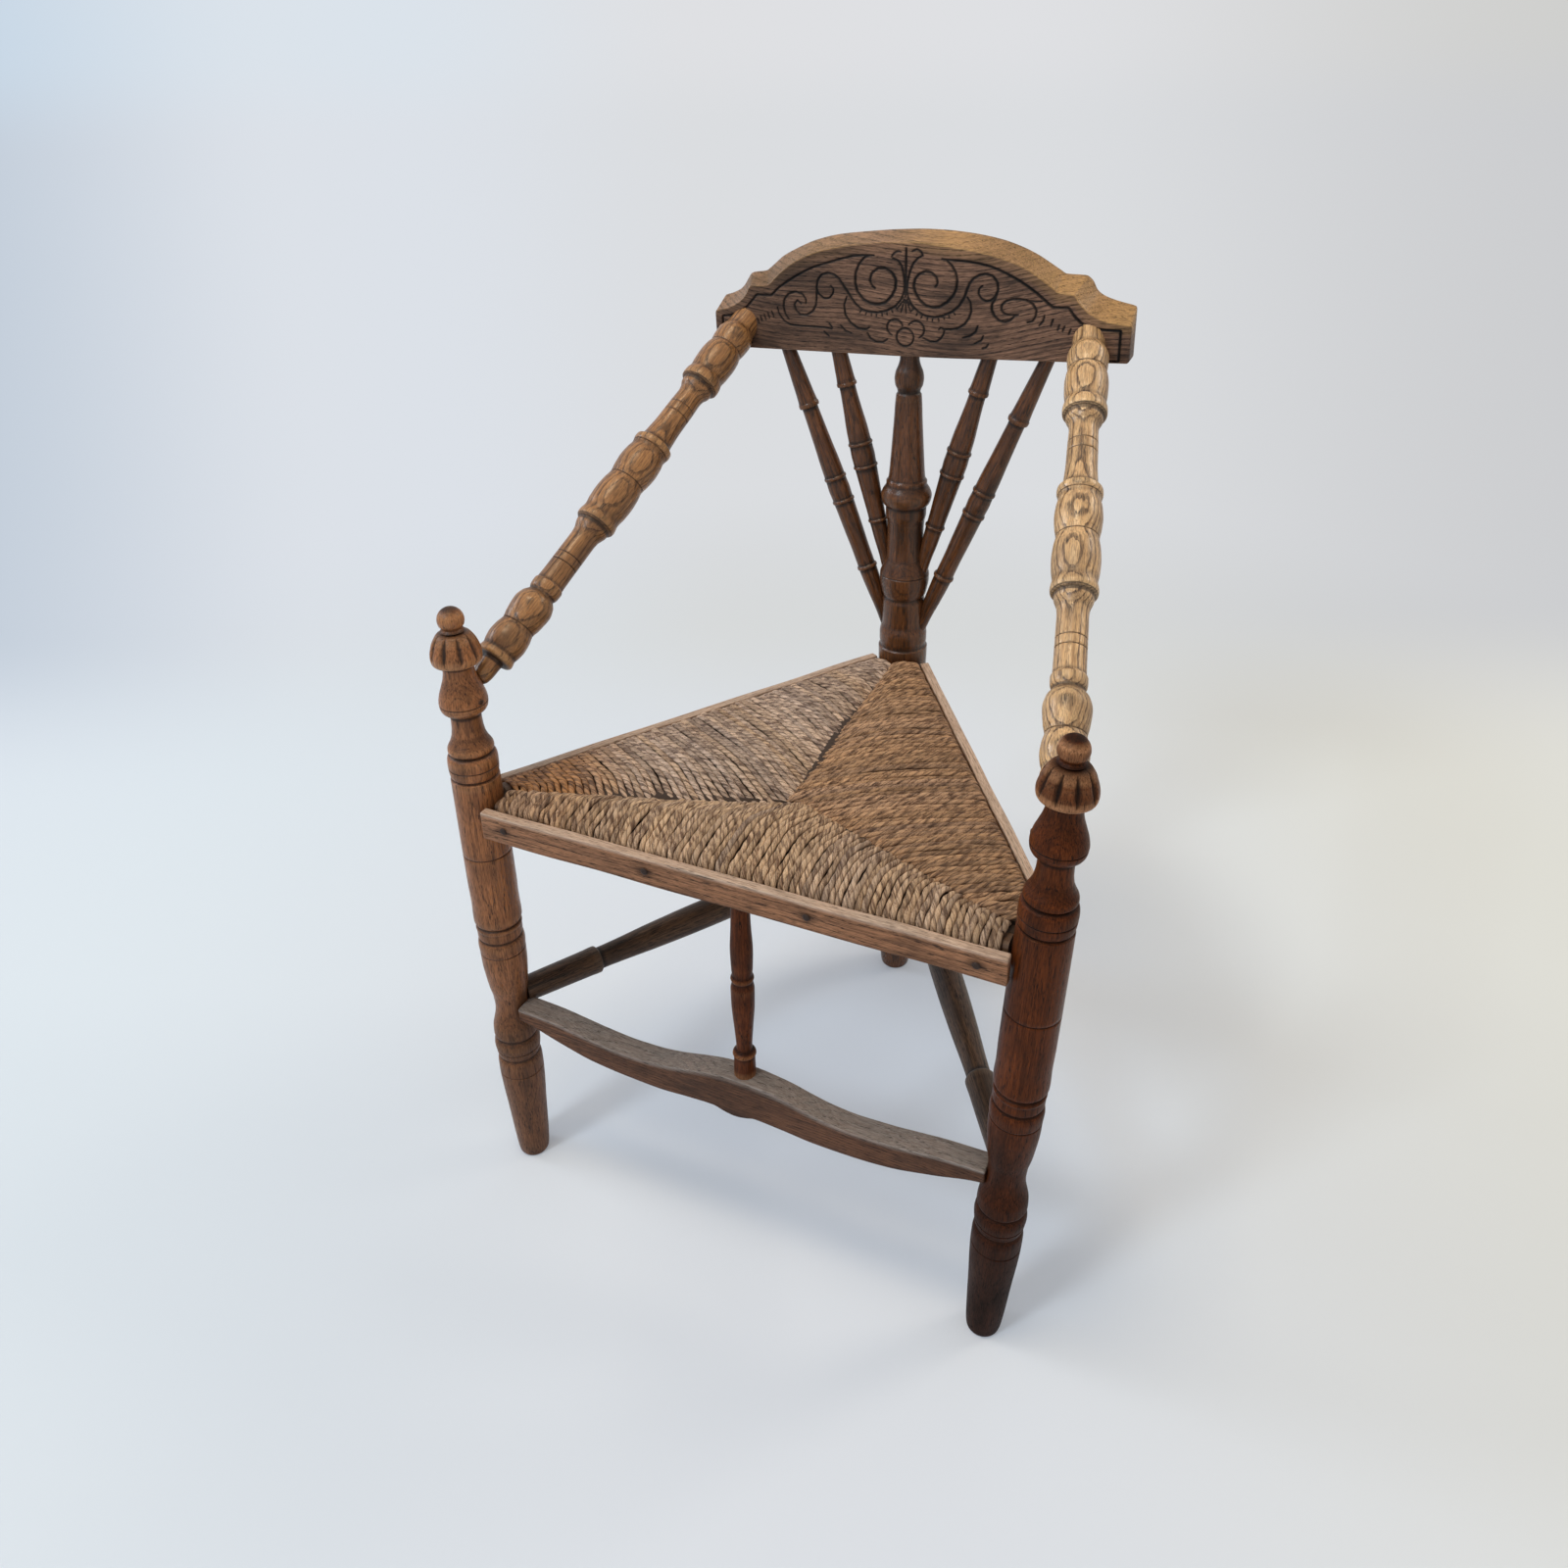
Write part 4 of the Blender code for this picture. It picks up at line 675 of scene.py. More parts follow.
# Back spindles: profiles, then each one's height on the back post, its distance from the
# post's axis there and its place along the crest
outerKeys = [
    (-0.05, 6.7), (0.000, 6.7), (0.100, 8.3), (0.160, 9.1), (0.178, 9.2), (0.181, 10.3), (0.185, 10.5),
    (0.190, 10.2), (0.194, 9.0), (0.250, 9.0), (0.330, 9.6), (0.420, 10.2), (0.432, 10.3), (0.435, 11.3),
    (0.439, 11.5), (0.443, 11.3), (0.446, 10.4), (0.482, 10.9), (0.518, 10.4), (0.521, 11.3), (0.525, 11.5),
    (0.529, 11.3), (0.532, 10.4), (0.560, 10.3), (0.650, 9.2), (0.740, 8.3), (0.783, 8.0), (0.786, 9.9),
    (0.791, 10.3), (0.798, 10.3), (0.802, 9.6), (0.880, 8.3), (1.000, 6.8), (1.050, 6.5)]
innerKeys = [
    (-0.06, 6.8), (0.000, 6.8), (0.100, 8.0), (0.178, 8.8), (0.182, 9.7), (0.187, 10.0), (0.191, 9.7),
    (0.195, 8.8), (0.300, 9.6), (0.430, 10.9), (0.444, 11.0), (0.447, 12.1), (0.450, 12.3),
    (0.455, 12.1), (0.459, 11.3), (0.505, 11.7), (0.553, 11.3), (0.557, 12.1), (0.561, 12.3),
    (0.566, 12.1), (0.570, 11.1), (0.620, 10.8), (0.720, 9.2), (0.800, 8.1), (0.832, 7.9),
    (0.835, 9.6), (0.840, 9.9), (0.848, 9.8), (0.852, 9.2), (0.920, 8.3), (1.000, 7.5), (1.060, 7.3)]
spindles = {"Outer": (outerKeys, 0.4543, 0.0214, 0.1262), "Inner": (innerKeys, 0.5184, 0.0200, 0.0736)}
spindleShift = -0.0018
for side, word in ((-1, "left"), (1, "right")):
    for kind, (keys, height, reach, top) in spindles.items():
        start = backAxis(height) + np.array([side * reach, 0.0, 0.0])
        end = crestPoint(side * top + spindleShift, 0.0, 0.0)
        lathe(dict(name=word + kind + "Spindle", nodes=[word + "_" + kind.lower() + "_spindle"],
                   slot="oak_dark", material=oaks["darkOak"], start=start, end=end, sides=40,
                   seed=7.0 + side + top * 9, ringStep=0.0016, pith=(0.5, -1.0, 0.1),
                   pithDistance=0.030, keys=millimetreKeys(keys, np.linalg.norm(end - start))))

# Side stretchers, the same from both ends; at the back post the right one sits higher
halfRod = [(0.030, 12.0), (0.100, 12.5), (0.170, 12.9), (0.184, 13.2), (0.192, 13.2), (0.195, 12.0),
           (0.199, 10.6), (0.230, 10.9), (0.330, 12.9), (0.420, 14.0)]
rodKeys = halfRod + [(0.500, 14.3)] + [(1 - share, radius) for share, radius in halfRod]
rod = dict(frontHeight=0.189, backHeight=0.190, backStep=0.0066)
for side, word in ((-1, "left"), (1, "right")):
    start, end = frontAxis(side, rod["frontHeight"]), backAxis(rod["backHeight"] + side * rod["backStep"])
    lathe(dict(name=word + "Stretcher", nodes=[word + "_stretcher"], slot="oak_dark",
               material=oaks["sootyOak"], start=start, end=end, seed=12.0 + side, sides=56,
               ringStep=0.002, pith=(0.5, -0.4, 1.0),
               keys=millimetreKeys(rodKeys, np.linalg.norm(end - start))))

# Small spindle on the front stretcher: heights from the floor
stayKeys = [
    (0.1780, 5.2), (0.1895, 5.6), (0.1903, 9.7), (0.2100, 9.2), (0.2125, 9.2), (0.2142, 10.3),
    (0.2160, 9.9), (0.2178, 8.0), (0.2190, 6.8), (0.2400, 8.0), (0.2700, 10.0), (0.2850, 10.2),
    (0.2930, 8.8), (0.2960, 10.0), (0.3000, 8.6), (0.3050, 9.0), (0.3250, 9.6), (0.3500, 8.4),
    (0.3750, 7.8), (0.3900, 7.7)]
lathe(dict(name="frontSpindle", nodes=["front_spindle"], slot="oak_mid", material=oaks["umberShadedOak"],
           start=(middleX + 0.0032, frontLineY + 0.0037, 0.0),
           end=(middleX + 0.0050, frontLineY + 0.0083, seatRailHeight), seed=14.2, sides=48,
           keys=millimetreKeys(stayKeys, 1.0)))
print("spindles and stretchers done")


def roundedSection(halfDeep, low, high, soft, steps=4, faceRows=8, deckRows=6):
    # one closed section of a board, from the front face's foot up, over the top and down the
    # back: straight runs joined by quarter rounds; all sizes may be arrays along the board
    def run(a, b, count):
        return [(a[0] + (b[0] - a[0]) * k / count, a[1] + (b[1] - a[1]) * k / count)
                for k in range(count)]

    def turn(centre, first):
        return [(centre[0] + soft * math.cos(first - math.pi / 2 * k / steps),
                 centre[1] + soft * math.sin(first - math.pi / 2 * k / steps)) for k in range(steps)]

    front, back = -halfDeep, halfDeep
    section = run((front, low + soft), (front, high - soft), faceRows)
    section += turn((front + soft, high - soft), math.pi)
    section += run((front + soft, high), (back - soft, high), deckRows)
    section += turn((back - soft, high - soft), math.pi / 2)
    section += run((back, high - soft), (back, low + soft), faceRows)
    section += turn((back - soft, low + soft), 0.0)
    section += run((back - soft, low), (front + soft, low), deckRows)
    section += turn((front + soft, low + soft), -math.pi / 2)
    return section


def drawnIn(fromEnd, soft):
    # how far a section is drawn in near a board's end, which makes the end a quarter round
    return soft - np.sqrt(np.clip(soft ** 2 - np.clip(soft - fromEnd, 0, soft) ** 2, 0, None))


def board(piece):
    # sections swept along the board, drawn in at both ends so that they are rounded too
    xs, low, high = piece["xs"], piece["low"], piece["high"]
    soft, halfDeep, place, seed = piece["soft"], piece["halfDeep"], piece["place"], piece["seed"]
    drawn = drawnIn(np.minimum(xs - xs[0], xs[-1] - xs), soft)
    section = roundedSection(halfDeep - drawn, low + drawn, high - drawn, soft * np.ones(len(xs)))
    deep = np.stack([np.broadcast_to(a, xs.shape) for a, b in section], 1)
    tall = np.stack([np.broadcast_to(b, xs.shape) for a, b in section], 1)
    along = np.repeat(xs[:, None], deep.shape[1], 1)
    # hand-made faces wander by a fraction of a millimetre
    deep = deep + piece["wave"] * np.sin(along * 61.0 + tall * 90.0 + seed) * 0.5
    tall = tall + piece["wave"] * np.sin(along * 47.0 + deep * 120.0 + seed * 2)
    middle = (low + high) / 2
    tips = np.stack([place(xs[0], 0.0, middle[0]), place(xs[-1], 0.0, middle[-1])])
    points = np.concatenate([place(along, deep, tall).reshape(-1, 3), tips])
    grain = np.stack([tall + piece["pithBelow"], deep + piece["pithBehind"], along], -1)
    grain = np.concatenate([grain.reshape(-1, 3), [[0.05, 0.02, xs[0]], [0.05, 0.02, xs[-1]]]])
    grain = grain + np.array([0.0, 0.0, seed])
    # the top edges are rubbed, wear with a painted highlight; the foot is darker, and stains gather round the
    # nails
    wearAndHighlight = ease(tall, high[:, None] - 0.0035, high[:, None] - 0.0005) * piece["wearAndHighlight"]
    dirtAndShade = np.zeros(deep.shape)
    for mark, size in piece.get("stains", ()):
        away = np.hypot((along - mark) / size, (tall - middle[:, None]) / (size * 0.62))
        dirtAndShade = np.maximum(dirtAndShade, 0.85 * np.clip(1.25 - away, 0.0, 1.0) * (deep < 0))
    dirtAndShade = np.maximum(dirtAndShade, piece["lowEdgeDark"] * ease(-tall, -low[:, None] - 0.004, -low[:, None]))
    quads, tris = tubeFaces(len(xs), deep.shape[1])
    meshPiece(piece["name"], points, quads, tris, piece["material"], piece["nodes"],
              {"grain": grain, "dirtAndShade": np.append(dirtAndShade.ravel(), [0.3, 0.3]),
               "wearAndHighlight": np.append(wearAndHighlight.ravel(), [0.0, 0.0])}, 50)


# Front stretcher: a flat bow, its outline read as heights at each distance from the middle
bowTop = np.array([(-.226, .186), (-.2172, .1855), (-.190, .1845), (-.160, .181), (-.140, .1785),
                   (-.110, .1762), (-.085, .1771), (-.065, .180), (-.035, .1872), (-.015, .1908),
                   (0.0, .1918), (.015, .1915), (.035, .1898), (.049, .1877), (.065, .1838),
                   (.085, .1796), (.110, .1772), (.140, .1785), (.160, .181), (.190, .1845),
                   (.2172, .1855), (.226, .186)])
bowLow = np.array([(0.0, .1487), (.004, .149), (.012, .1508), (.020, .1530), (.045, .1512),
                   (.075, .1488), (.110, .1500), (.145, .153), (.180, .161), (.2172, .1715), (.232, .1735)])
bow = dict(middle=(-0.0021, 0.0040), halfLength=0.225, halfDeep=0.011)
bowEnd = bow["halfLength"]
xs = np.unique(np.concatenate([np.linspace(-bowEnd, bowEnd, 233), [-0.2245, 0.2245, -0.2238, 0.2238]]))
board(dict(name="frontStretcher", nodes=["front_stretcher"], slot="oak_mid", material=oaks["bowOak"],
           xs=xs, low=smoothThrough(bowLow[:, 0], bowLow[:, 1], np.abs(xs)),
           high=smoothThrough(bowTop[:, 0], bowTop[:, 1], xs), halfDeep=bow["halfDeep"], soft=0.0016,
           place=lambda a, d, t: np.stack([a + middleX + bow["middle"][0],
                                           d + frontLineY + bow["middle"][1], t + 0 * a], -1),
           seed=3.1, wave=0.0003, wearAndHighlight=0.95, pithBelow=-0.10, pithBehind=0.03, lowEdgeDark=0.4))

# Seat's corners: the posts' axes at the rail's height
cornerA = frontAxis(-1, seatRailHeight)
cornerB = frontAxis(1, seatRailHeight)
cornerC = backAxis(seatRailHeight)


def sideFrame(first, second):
    # one side of the seat: its length, its direction and the level direction into the seat
    length = np.linalg.norm(second - first)
    along = (second - first) / length
    return length, along, np.cross(up, along)


# Edge strips and their nails: corners, the gap to each post's axis, the lower edge at both
# ends and the upper edge, and the nails as shares of the strip
strips = {
    "front": dict(ends=(cornerA, cornerB), gaps=(0.0180, 0.0180), low=(0.3822, 0.3848), high=0.4090,
                  nails=(0.05, 0.35, 0.66, 0.95)),
    "right": dict(ends=(cornerB, cornerC), gaps=(0.0180, 0.0222), low=(0.3840, 0.3840), high=0.4090,
                  nails=(0.08, 0.50, 0.92)),
    "left": dict(ends=(cornerC, cornerA), gaps=(0.0222, 0.0180), low=(0.3840, 0.3830), high=0.4085,
                 nails=(0.08, 0.50, 0.92))}
stripHalf = 0.00435
stripMiddle = 0.0138 + stripHalf      # from the rail's axis to the strip's middle
nailFace = 0.0225                     # and to the strip's outer face
nailHeight = 0.3965
nailKeys = [(0.012, 0.0012), (nailFace - 0.0002, 0.0012), (nailFace + 0.0001, 0.0028),
            (nailFace + 0.0006, 0.0031), (nailFace + 0.0012, 0.0026), (nailFace + 0.0016, 0.0012)]
for word, strip in strips.items():
    first, gap = strip["ends"][0], strip["gaps"][0]
    length, along, inward = sideFrame(*strip["ends"])
    span = length - gap - strip["gaps"][1]
    xs = np.unique(np.concatenate([np.linspace(0.0, span, 190),
                                   [0.0005, 0.0012, span - 0.0005, span - 0.0012]]))

    def placeStrip(a, d, t, first=first, along=along, outward=-inward, gap=gap):
        a, d, t = np.broadcast_arrays(a, d, t)
        return (first + (a + gap)[..., None] * along
                + (stripMiddle - d)[..., None] * outward + (t - seatRailHeight)[..., None] * up)

    nails = [share * span for share in strip["nails"]]
    board(dict(name=word + "EdgeStrip", nodes=[word + "_edge_strip"], slot="oak_mid",
               material=oaks["stripOak"], xs=xs,
               low=strip["low"][0] + (strip["low"][1] - strip["low"][0]) * xs / span,
               high=np.full(len(xs), strip["high"]), halfDeep=stripHalf, soft=0.0010,
               place=placeStrip, seed=20 + length * 9 + len(word), wave=0.0003, wearAndHighlight=0.95, lowEdgeDark=0.35,
               stains=[(nail, 0.009) for nail in nails], pithBelow=-0.45, pithBehind=0.11))
    for number, nail in enumerate(nails, 1):
        foot = placeStrip(nail, stripMiddle, nailHeight)
        lathe(dict(name=word + "Nail" + str(number), nodes=[word + "_nail_" + str(number)],
                   slot="iron", material=rust, start=foot, end=foot - inward * 0.024, keys=nailKeys,
                   seed=number * 1.1, sides=24, pith=(0.1, 0.2, 1.0)))
print("boards done")

# Crest: gouged lines on its face, traced as points in millimetres from its middle and its
# underside, each with its half width and its depth
rightLines = [
    ([(28.4, 89.3), (37.8, 88.7), (51.5, 87.8), (62.8, 86.4), (73.0, 84.1), (80.9, 81.3), (90.0, 77.3),
      (99.0, 72.8), (107.0, 68.0), (114.9, 62.6), (121.8, 56.9), (129.3, 51.0), (136.4, 50.8),
      (143.4, 51.1), (148.9, 43.8), (154.6, 38.6), (160.7, 35.1), (168.0, 33.8), (176.9, 33.2),
      (189.2, 33.2), (189.2, 20.0), (189.2, 6.0), (160.0, 5.6)], 1.15, 1.5),
    ([(32.1, 89.1), (38.0, 83.8), (41.5, 78.0), (43.1, 71.5), (42.4, 63.8), (39.7, 57.6), (34.0, 51.3),
      (27.1, 47.1), (21.3, 46.1), (14.2, 47.7), (8.3, 52.5), (4.4, 59.1), (2.7, 64.6), (4.0, 71.3),
      (8.0, 75.8), (13.8, 78.2), (19.6, 77.1), (24.1, 73.0), (25.2, 68.1), (22.8, 64.4)], 1.25, 1.6),
    ([(-3.6, 61.0), (-2.4, 54.3), (1.2, 47.7), (7.2, 41.8), (14.4, 38.4), (22.6, 37.4), (30.8, 39.4),
      (38.9, 43.1), (45.7, 49.0), (50.1, 56.4), (52.2, 63.0), (54.3, 68.6), (57.6, 73.0), (63.2, 76.5),
      (69.3, 77.8), (75.5, 75.8), (79.7, 70.5), (80.5, 64.1), (78.4, 58.5), (74.1, 54.6), (70.1, 53.8),
      (65.5, 56.1), (62.9, 60.1), (63.2, 64.5), (66.6, 67.4)], 1.1, 1.4),
    ([(52.4, 57.0), (55.9, 52.2), (56.7, 44.4), (54.6, 37.7), (50.7, 32.4), (45.0, 28.8), (38.1, 27.3),
      (31.6, 27.0), (28.7, 28.6), (26.6, 26.4)], 1.0, 1.3),
    ([(32.0, 26.7), (31.7, 23.1), (28.8, 18.3), (24.8, 15.6), (19.4, 15.3), (14.6, 17.1),
      (11.6, 18.6)], 0.9, 1.2),
    ([(80.3, 63.0), (78.3, 56.3), (75.3, 51.3), (75.3, 46.3), (78.0, 40.9), (82.6, 37.2), (87.8, 36.1),
      (92.8, 38.3), (96.0, 41.9), (99.5, 43.2)], 1.1, 1.4),
    ([(99.5, 43.0), (91.4, 42.6), (86.9, 43.5), (84.0, 46.7), (84.1, 51.1), (87.6, 54.5), (93.1, 56.4),
      (99.8, 56.9), (106.5, 56.1), (112.1, 52.8), (115.3, 48.0), (114.9, 42.5), (112.3, 38.0),
      (107.4, 36.7)], 1.05, 1.4),
    ([(106.5, 55.9), (113.1, 55.5), (120.3, 55.6)], 0.7, 0.8),
    ([(122.7, 44.0), (121.7, 38.5), (118.1, 34.1)], 0.9, 1.1),
    ([(130.4, 40.5), (128.6, 34.4)], 0.9, 1.0), ([(136.2, 35.8), (134.8, 30.8)], 0.9, 1.0),
    ([(140.8, 35.0), (139.2, 30.0)], 0.9, 1.0), ([(146.4, 32.8), (144.8, 27.8)], 0.9, 1.0),
    ([(63.2, 31.9), (61.3, 26.2), (56.2, 22.2), (49.3, 20.3)], 1.0, 1.2),
    ([(68.5, 23.2), (66.7, 18.6), (59.9, 15.2)], 0.9, 1.1),
    ([(73.4, 16.1), (71.5, 12.6), (67.5, 11.7)], 0.9, 1.1),
    ([(-4.5, 98.2), (-4.7, 83.1), (-4.9, 68.8), (-5.1, 54.5)], 1.15, 1.5),
    ([(-3.6, 56.5), (-3.1, 68.8), (-0.8, 77.8), (2.3, 85.0), (6.7, 89.8), (11.1, 92.1)], 1.05, 1.4),
    ([(11.3, 91.2), (9.5, 95.3), (5.5, 97.4), (0.8, 95.3)], 0.95, 1.2),
    ([(-18.5, 89.9), (-15.6, 93.8), (-12.1, 95.2), (-9.1, 94.2)], 0.95, 1.2),
    ([(-17.4, 89.2), (-12.0, 86.8), (-8.5, 81.9), (-6.7, 74.3), (-5.8, 66.5), (-6.4, 56.4)], 1.05, 1.4)]
leftLines = [
    ([(-34.9, 90.9), (-44.5, 90.9), (-56.6, 89.5), (-67.6, 86.9), (-79.9, 83.2), (-92.4, 79.5),
      (-102.5, 75.2), (-112.7, 69.8), (-121.8, 64.3), (-130.9, 58.2), (-138.3, 50.9), (-145.4, 51.2),
      (-153.2, 51.5), (-157.4, 46.6), (-163.6, 39.9), (-172.5, 33.5), (-182.0, 30.7),
      (-190.1, 29.8), (-190.1, 18.0), (-190.1, 6.0), (-160.0, 5.6)], 1.15, 1.5),
    ([(-39.1, 90.8), (-44.5, 88.7), (-49.4, 83.0), (-52.9, 75.0), (-53.5, 66.0), (-51.5, 58.2),
      (-46.1, 51.5), (-38.8, 47.5), (-31.5, 47.0), (-24.2, 49.0), (-18.2, 54.9), (-14.7, 61.7),
      (-14.1, 69.6), (-17.7, 76.1), (-24.2, 79.8), (-31.4, 79.6), (-37.4, 75.0), (-39.2, 68.7),
      (-37.5, 64.3), (-33.9, 61.1)], 1.25, 1.6),
    ([(-6.1, 60.9), (-8.7, 53.0), (-14.6, 46.0), (-23.0, 41.6), (-31.5, 39.6), (-40.0, 39.8),
      (-47.4, 41.8), (-52.8, 46.1), (-57.7, 52.2), (-61.3, 57.8), (-64.9, 62.8), (-69.1, 68.9),
      (-74.0, 72.7), (-80.1, 74.0), (-86.3, 72.3), (-90.4, 67.0), (-91.6, 60.1), (-89.9, 54.5),
      (-84.4, 50.4), (-79.4, 50.8), (-75.6, 54.8), (-74.8, 59.4), (-77.9, 62.7)], 1.1, 1.4),
    ([(-61.7, 53.2), (-64.6, 45.1), (-63.5, 35.9), (-58.6, 29.1), (-51.2, 24.2), (-45.1, 23.7),
      (-41.6, 24.3), (-39.5, 26.0)], 1.0, 1.3),
    ([(-42.0, 20.6), (-39.0, 15.5), (-32.9, 12.3), (-26.7, 12.4), (-21.8, 15.8)], 0.9, 1.2),
    ([(-91.7, 57.8), (-91.9, 49.8), (-92.7, 43.9), (-96.0, 38.0), (-102.4, 34.2), (-108.8, 34.5),
      (-113.1, 38.4), (-114.6, 43.6), (-111.5, 48.1), (-107.5, 44.3)], 1.1, 1.4),
    ([(-120.5, 29.3), (-124.2, 34.4), (-125.8, 41.4), (-124.9, 47.9), (-120.3, 53.3), (-113.2, 55.7),
      (-106.3, 53.8), (-102.6, 48.8), (-103.1, 44.4)], 1.05, 1.4),
    ([(-132.3, 40.6), (-130.6, 34.1), (-125.7, 27.8), (-119.4, 24.6), (-109.1, 23.9), (-93.8, 23.8),
      (-83.7, 23.3), (-76.8, 22.2)], 1.0, 1.2),
    ([(-79.9, 27.6), (-76.6, 23.4)], 0.9, 1.0), ([(-68.6, 26.3), (-63.7, 21.3), (-57.3, 19.3)], 0.9, 1.1),
    ([(-85.1, 19.7), (-79.9, 15.2)], 0.9, 1.0), ([(-138.3, 36.2), (-136.0, 30.4)], 0.9, 1.0),
    ([(-142.5, 34.8), (-140.6, 29.2)], 0.9, 1.0), ([(-146.3, 33.2), (-144.6, 27.4)], 0.9, 1.0),
    ([(-150.3, 30.9), (-148.6, 26.0)], 0.9, 1.0), ([(-153.7, 29.0), (-152.2, 23.9)], 0.9, 1.0)]


def arcPoints(x, z, radius, first, last):
    turns = np.radians(np.linspace(first, last, 18))
    return [(x + radius * math.cos(turn), z + radius * math.sin(turn)) for turn in turns]


def lengthAlong(line):
    # the distance of each point from the first, along the line
    return np.concatenate([[0.0], np.cumsum(np.hypot(*np.diff(line, axis=0).T))])


def pointAlong(line, run, at):
    return np.stack([np.interp(at, run, line[:, k]) for k in (0, 1)], -1)


def ticksAlong(points, first, last, side):
    # short strokes square to a line, between two shares of its length
    every, near, far = 4.9, 1.2, 4.0
    line = np.array(points)
    run = lengthAlong(line)
    made = []
    for at in np.arange(run[-1] * first, run[-1] * last, every):
        here, then = pointAlong(line, run, at), pointAlong(line, run, at + 1.0)
        ahead = (then - here) / np.linalg.norm(then - here)
        off = np.array([ahead[1], -ahead[0]]) * side
        made.append(([tuple(here + off * near), tuple(here + off * far)], 0.7, 0.8))
    return made


strokes = rightLines + leftLines
strokes += [(arcPoints(-5.2, 18.0, 8.3, 0, 360), 0.95, 1.2), (arcPoints(5.1, 25.4, 7.9, 150, -70), 0.95, 1.2),
            (arcPoints(-15.0, 26.6, 7.6, 250, 10), 0.95, 1.2)]
strokes += ticksAlong(rightLines[2][0], 0.05, 0.38, 1) + ticksAlong(leftLines[2][0], 0.05, 0.36, -1)
# a small fan of strokes under the stem
for turn in (-44, -20, 4, 26, 46):
    lean = math.radians(turn)
    strokes.append(([(-5.1 + 2.0 * math.sin(lean), 52.0),
                     (-5.1 + 12.0 * math.sin(lean), 52.0 - 12.0 * math.cos(lean))], 0.7, 0.9))


def cutLines(strokes, faceX, faceZ):
    # each line's depth is a V across it, tapered to its ends; its painted dark, dirt with painted shade,
    # reaches a little wider
    carved, dark = np.zeros(faceX.shape), np.zeros(faceX.shape)
    for points, width, depth in strokes:
        line = np.array(points)
        run = lengthAlong(line)
        fine = pointAlong(line, run, np.arange(0.0, run[-1], 0.35)) / 1000
        if len(points) > 2:
            # round the corners of the traced line by averaging along it
            window = np.ones(7) / 7
            padded = np.concatenate([np.repeat(fine[:1], 3, 0), fine, np.repeat(fine[-1:], 3, 0)])
            fine = np.stack([np.convolve(padded[:, k], window, "valid") for k in (0, 1)], -1)
        taper = 0.50 + 0.50 * np.sin(math.pi * np.linspace(0.06, 0.94, len(fine))) ** 0.5
        box = ((faceX > fine[:, 0].min() - 0.003) & (faceX < fine[:, 0].max() + 0.003)
               & (faceZ > fine[:, 1].min() - 0.003) & (faceZ < fine[:, 1].max() + 0.003))
        px, pz = faceX[box], faceZ[box]
        best = np.full(px.shape, 9.0)
        for chunk in np.array_split(np.arange(len(fine)), max(1, len(fine) // 60)):
            distance = np.hypot(px[:, None] - fine[chunk, 0], pz[:, None] - fine[chunk, 1])
            best = np.minimum(best, (distance / (width * 1.3 / 1000 * taper[chunk])).min(1))
        carved[box] = np.maximum(carved[box], np.clip(1 - best, 0.0, 1.0) * depth / 1000)
        dark[box] = np.maximum(dark[box], np.clip(1.75 - best * 1.3, 0.0, 1.0))
    return carved, dark


# The crest's two outlines in millimetres: along and up on the front face's top edge, and
# the place on the back face's top edge that it runs back to
crestKeys = np.array([
    (-198.5, 34.8, -199.3, 43.5), (-196.7, 35.1, -197.2, 45.0), (-187.1, 37.4, -189.4, 47.4),
    (-176.4, 41.8, -181.5, 51.0), (-168.9, 46.8, -176.5, 55.5), (-163.4, 53.5, -172.0, 62.2),
    (-160.5, 58.8, -168.6, 66.6), (-158.9, 59.8, -165.5, 68.0), (-142.6, 60.8, -152.6, 69.8),
    (-138.5, 63.1, -148.4, 72.6), (-134.3, 67.3, -143.5, 76.6), (-127.0, 73.8, -134.7, 83.7),
    (-113.8, 83.2, -119.2, 91.8), (-95.9, 91.2, -99.5, 99.8), (-74.5, 97.0, -76.0, 105.3),
    (-46.0, 101.3, -45.7, 108.6), (-22.7, 103.2, -20.0, 110.6), (4.8, 103.6, 6.0, 111.5),
    (22.9, 102.2, 24.0, 111.0), (49.7, 98.9, 51.0, 108.5), (75.4, 93.9, 77.0, 103.7),
    (93.8, 88.1, 96.0, 97.5), (107.0, 82.3, 109.5, 91.3), (118.6, 75.0, 120.5, 84.8),
    (129.1, 67.6, 130.5, 78.6), (133.6, 64.2, 135.5, 75.8), (147.2, 62.8, 152.5, 75.0),
    (151.0, 57.4, 158.5, 71.0), (156.4, 51.8, 163.2, 63.0), (160.0, 48.6, 168.0, 59.0),
    (166.9, 44.7, 174.3, 56.2), (173.8, 42.0, 180.4, 54.3), (182.3, 40.3, 187.0, 52.6),
    (190.7, 39.2, 193.5, 51.2), (198.3, 38.7, 198.6, 49.6)]) / 1000
# the underside rises a little to the right
undersideKeys = np.array([(-0.200, 0.0), (0.0, 0.0), (0.040, 0.0006), (0.080, 0.0017), (0.120, 0.0026),
                          (0.150, 0.0033), (0.200, 0.0049)])
# sections along it, rows up its face, and the rounding of its edges and of its ends
crestShape = dict(columns=560, faceRows=132, soft=0.0013, softEnd=0.0026)


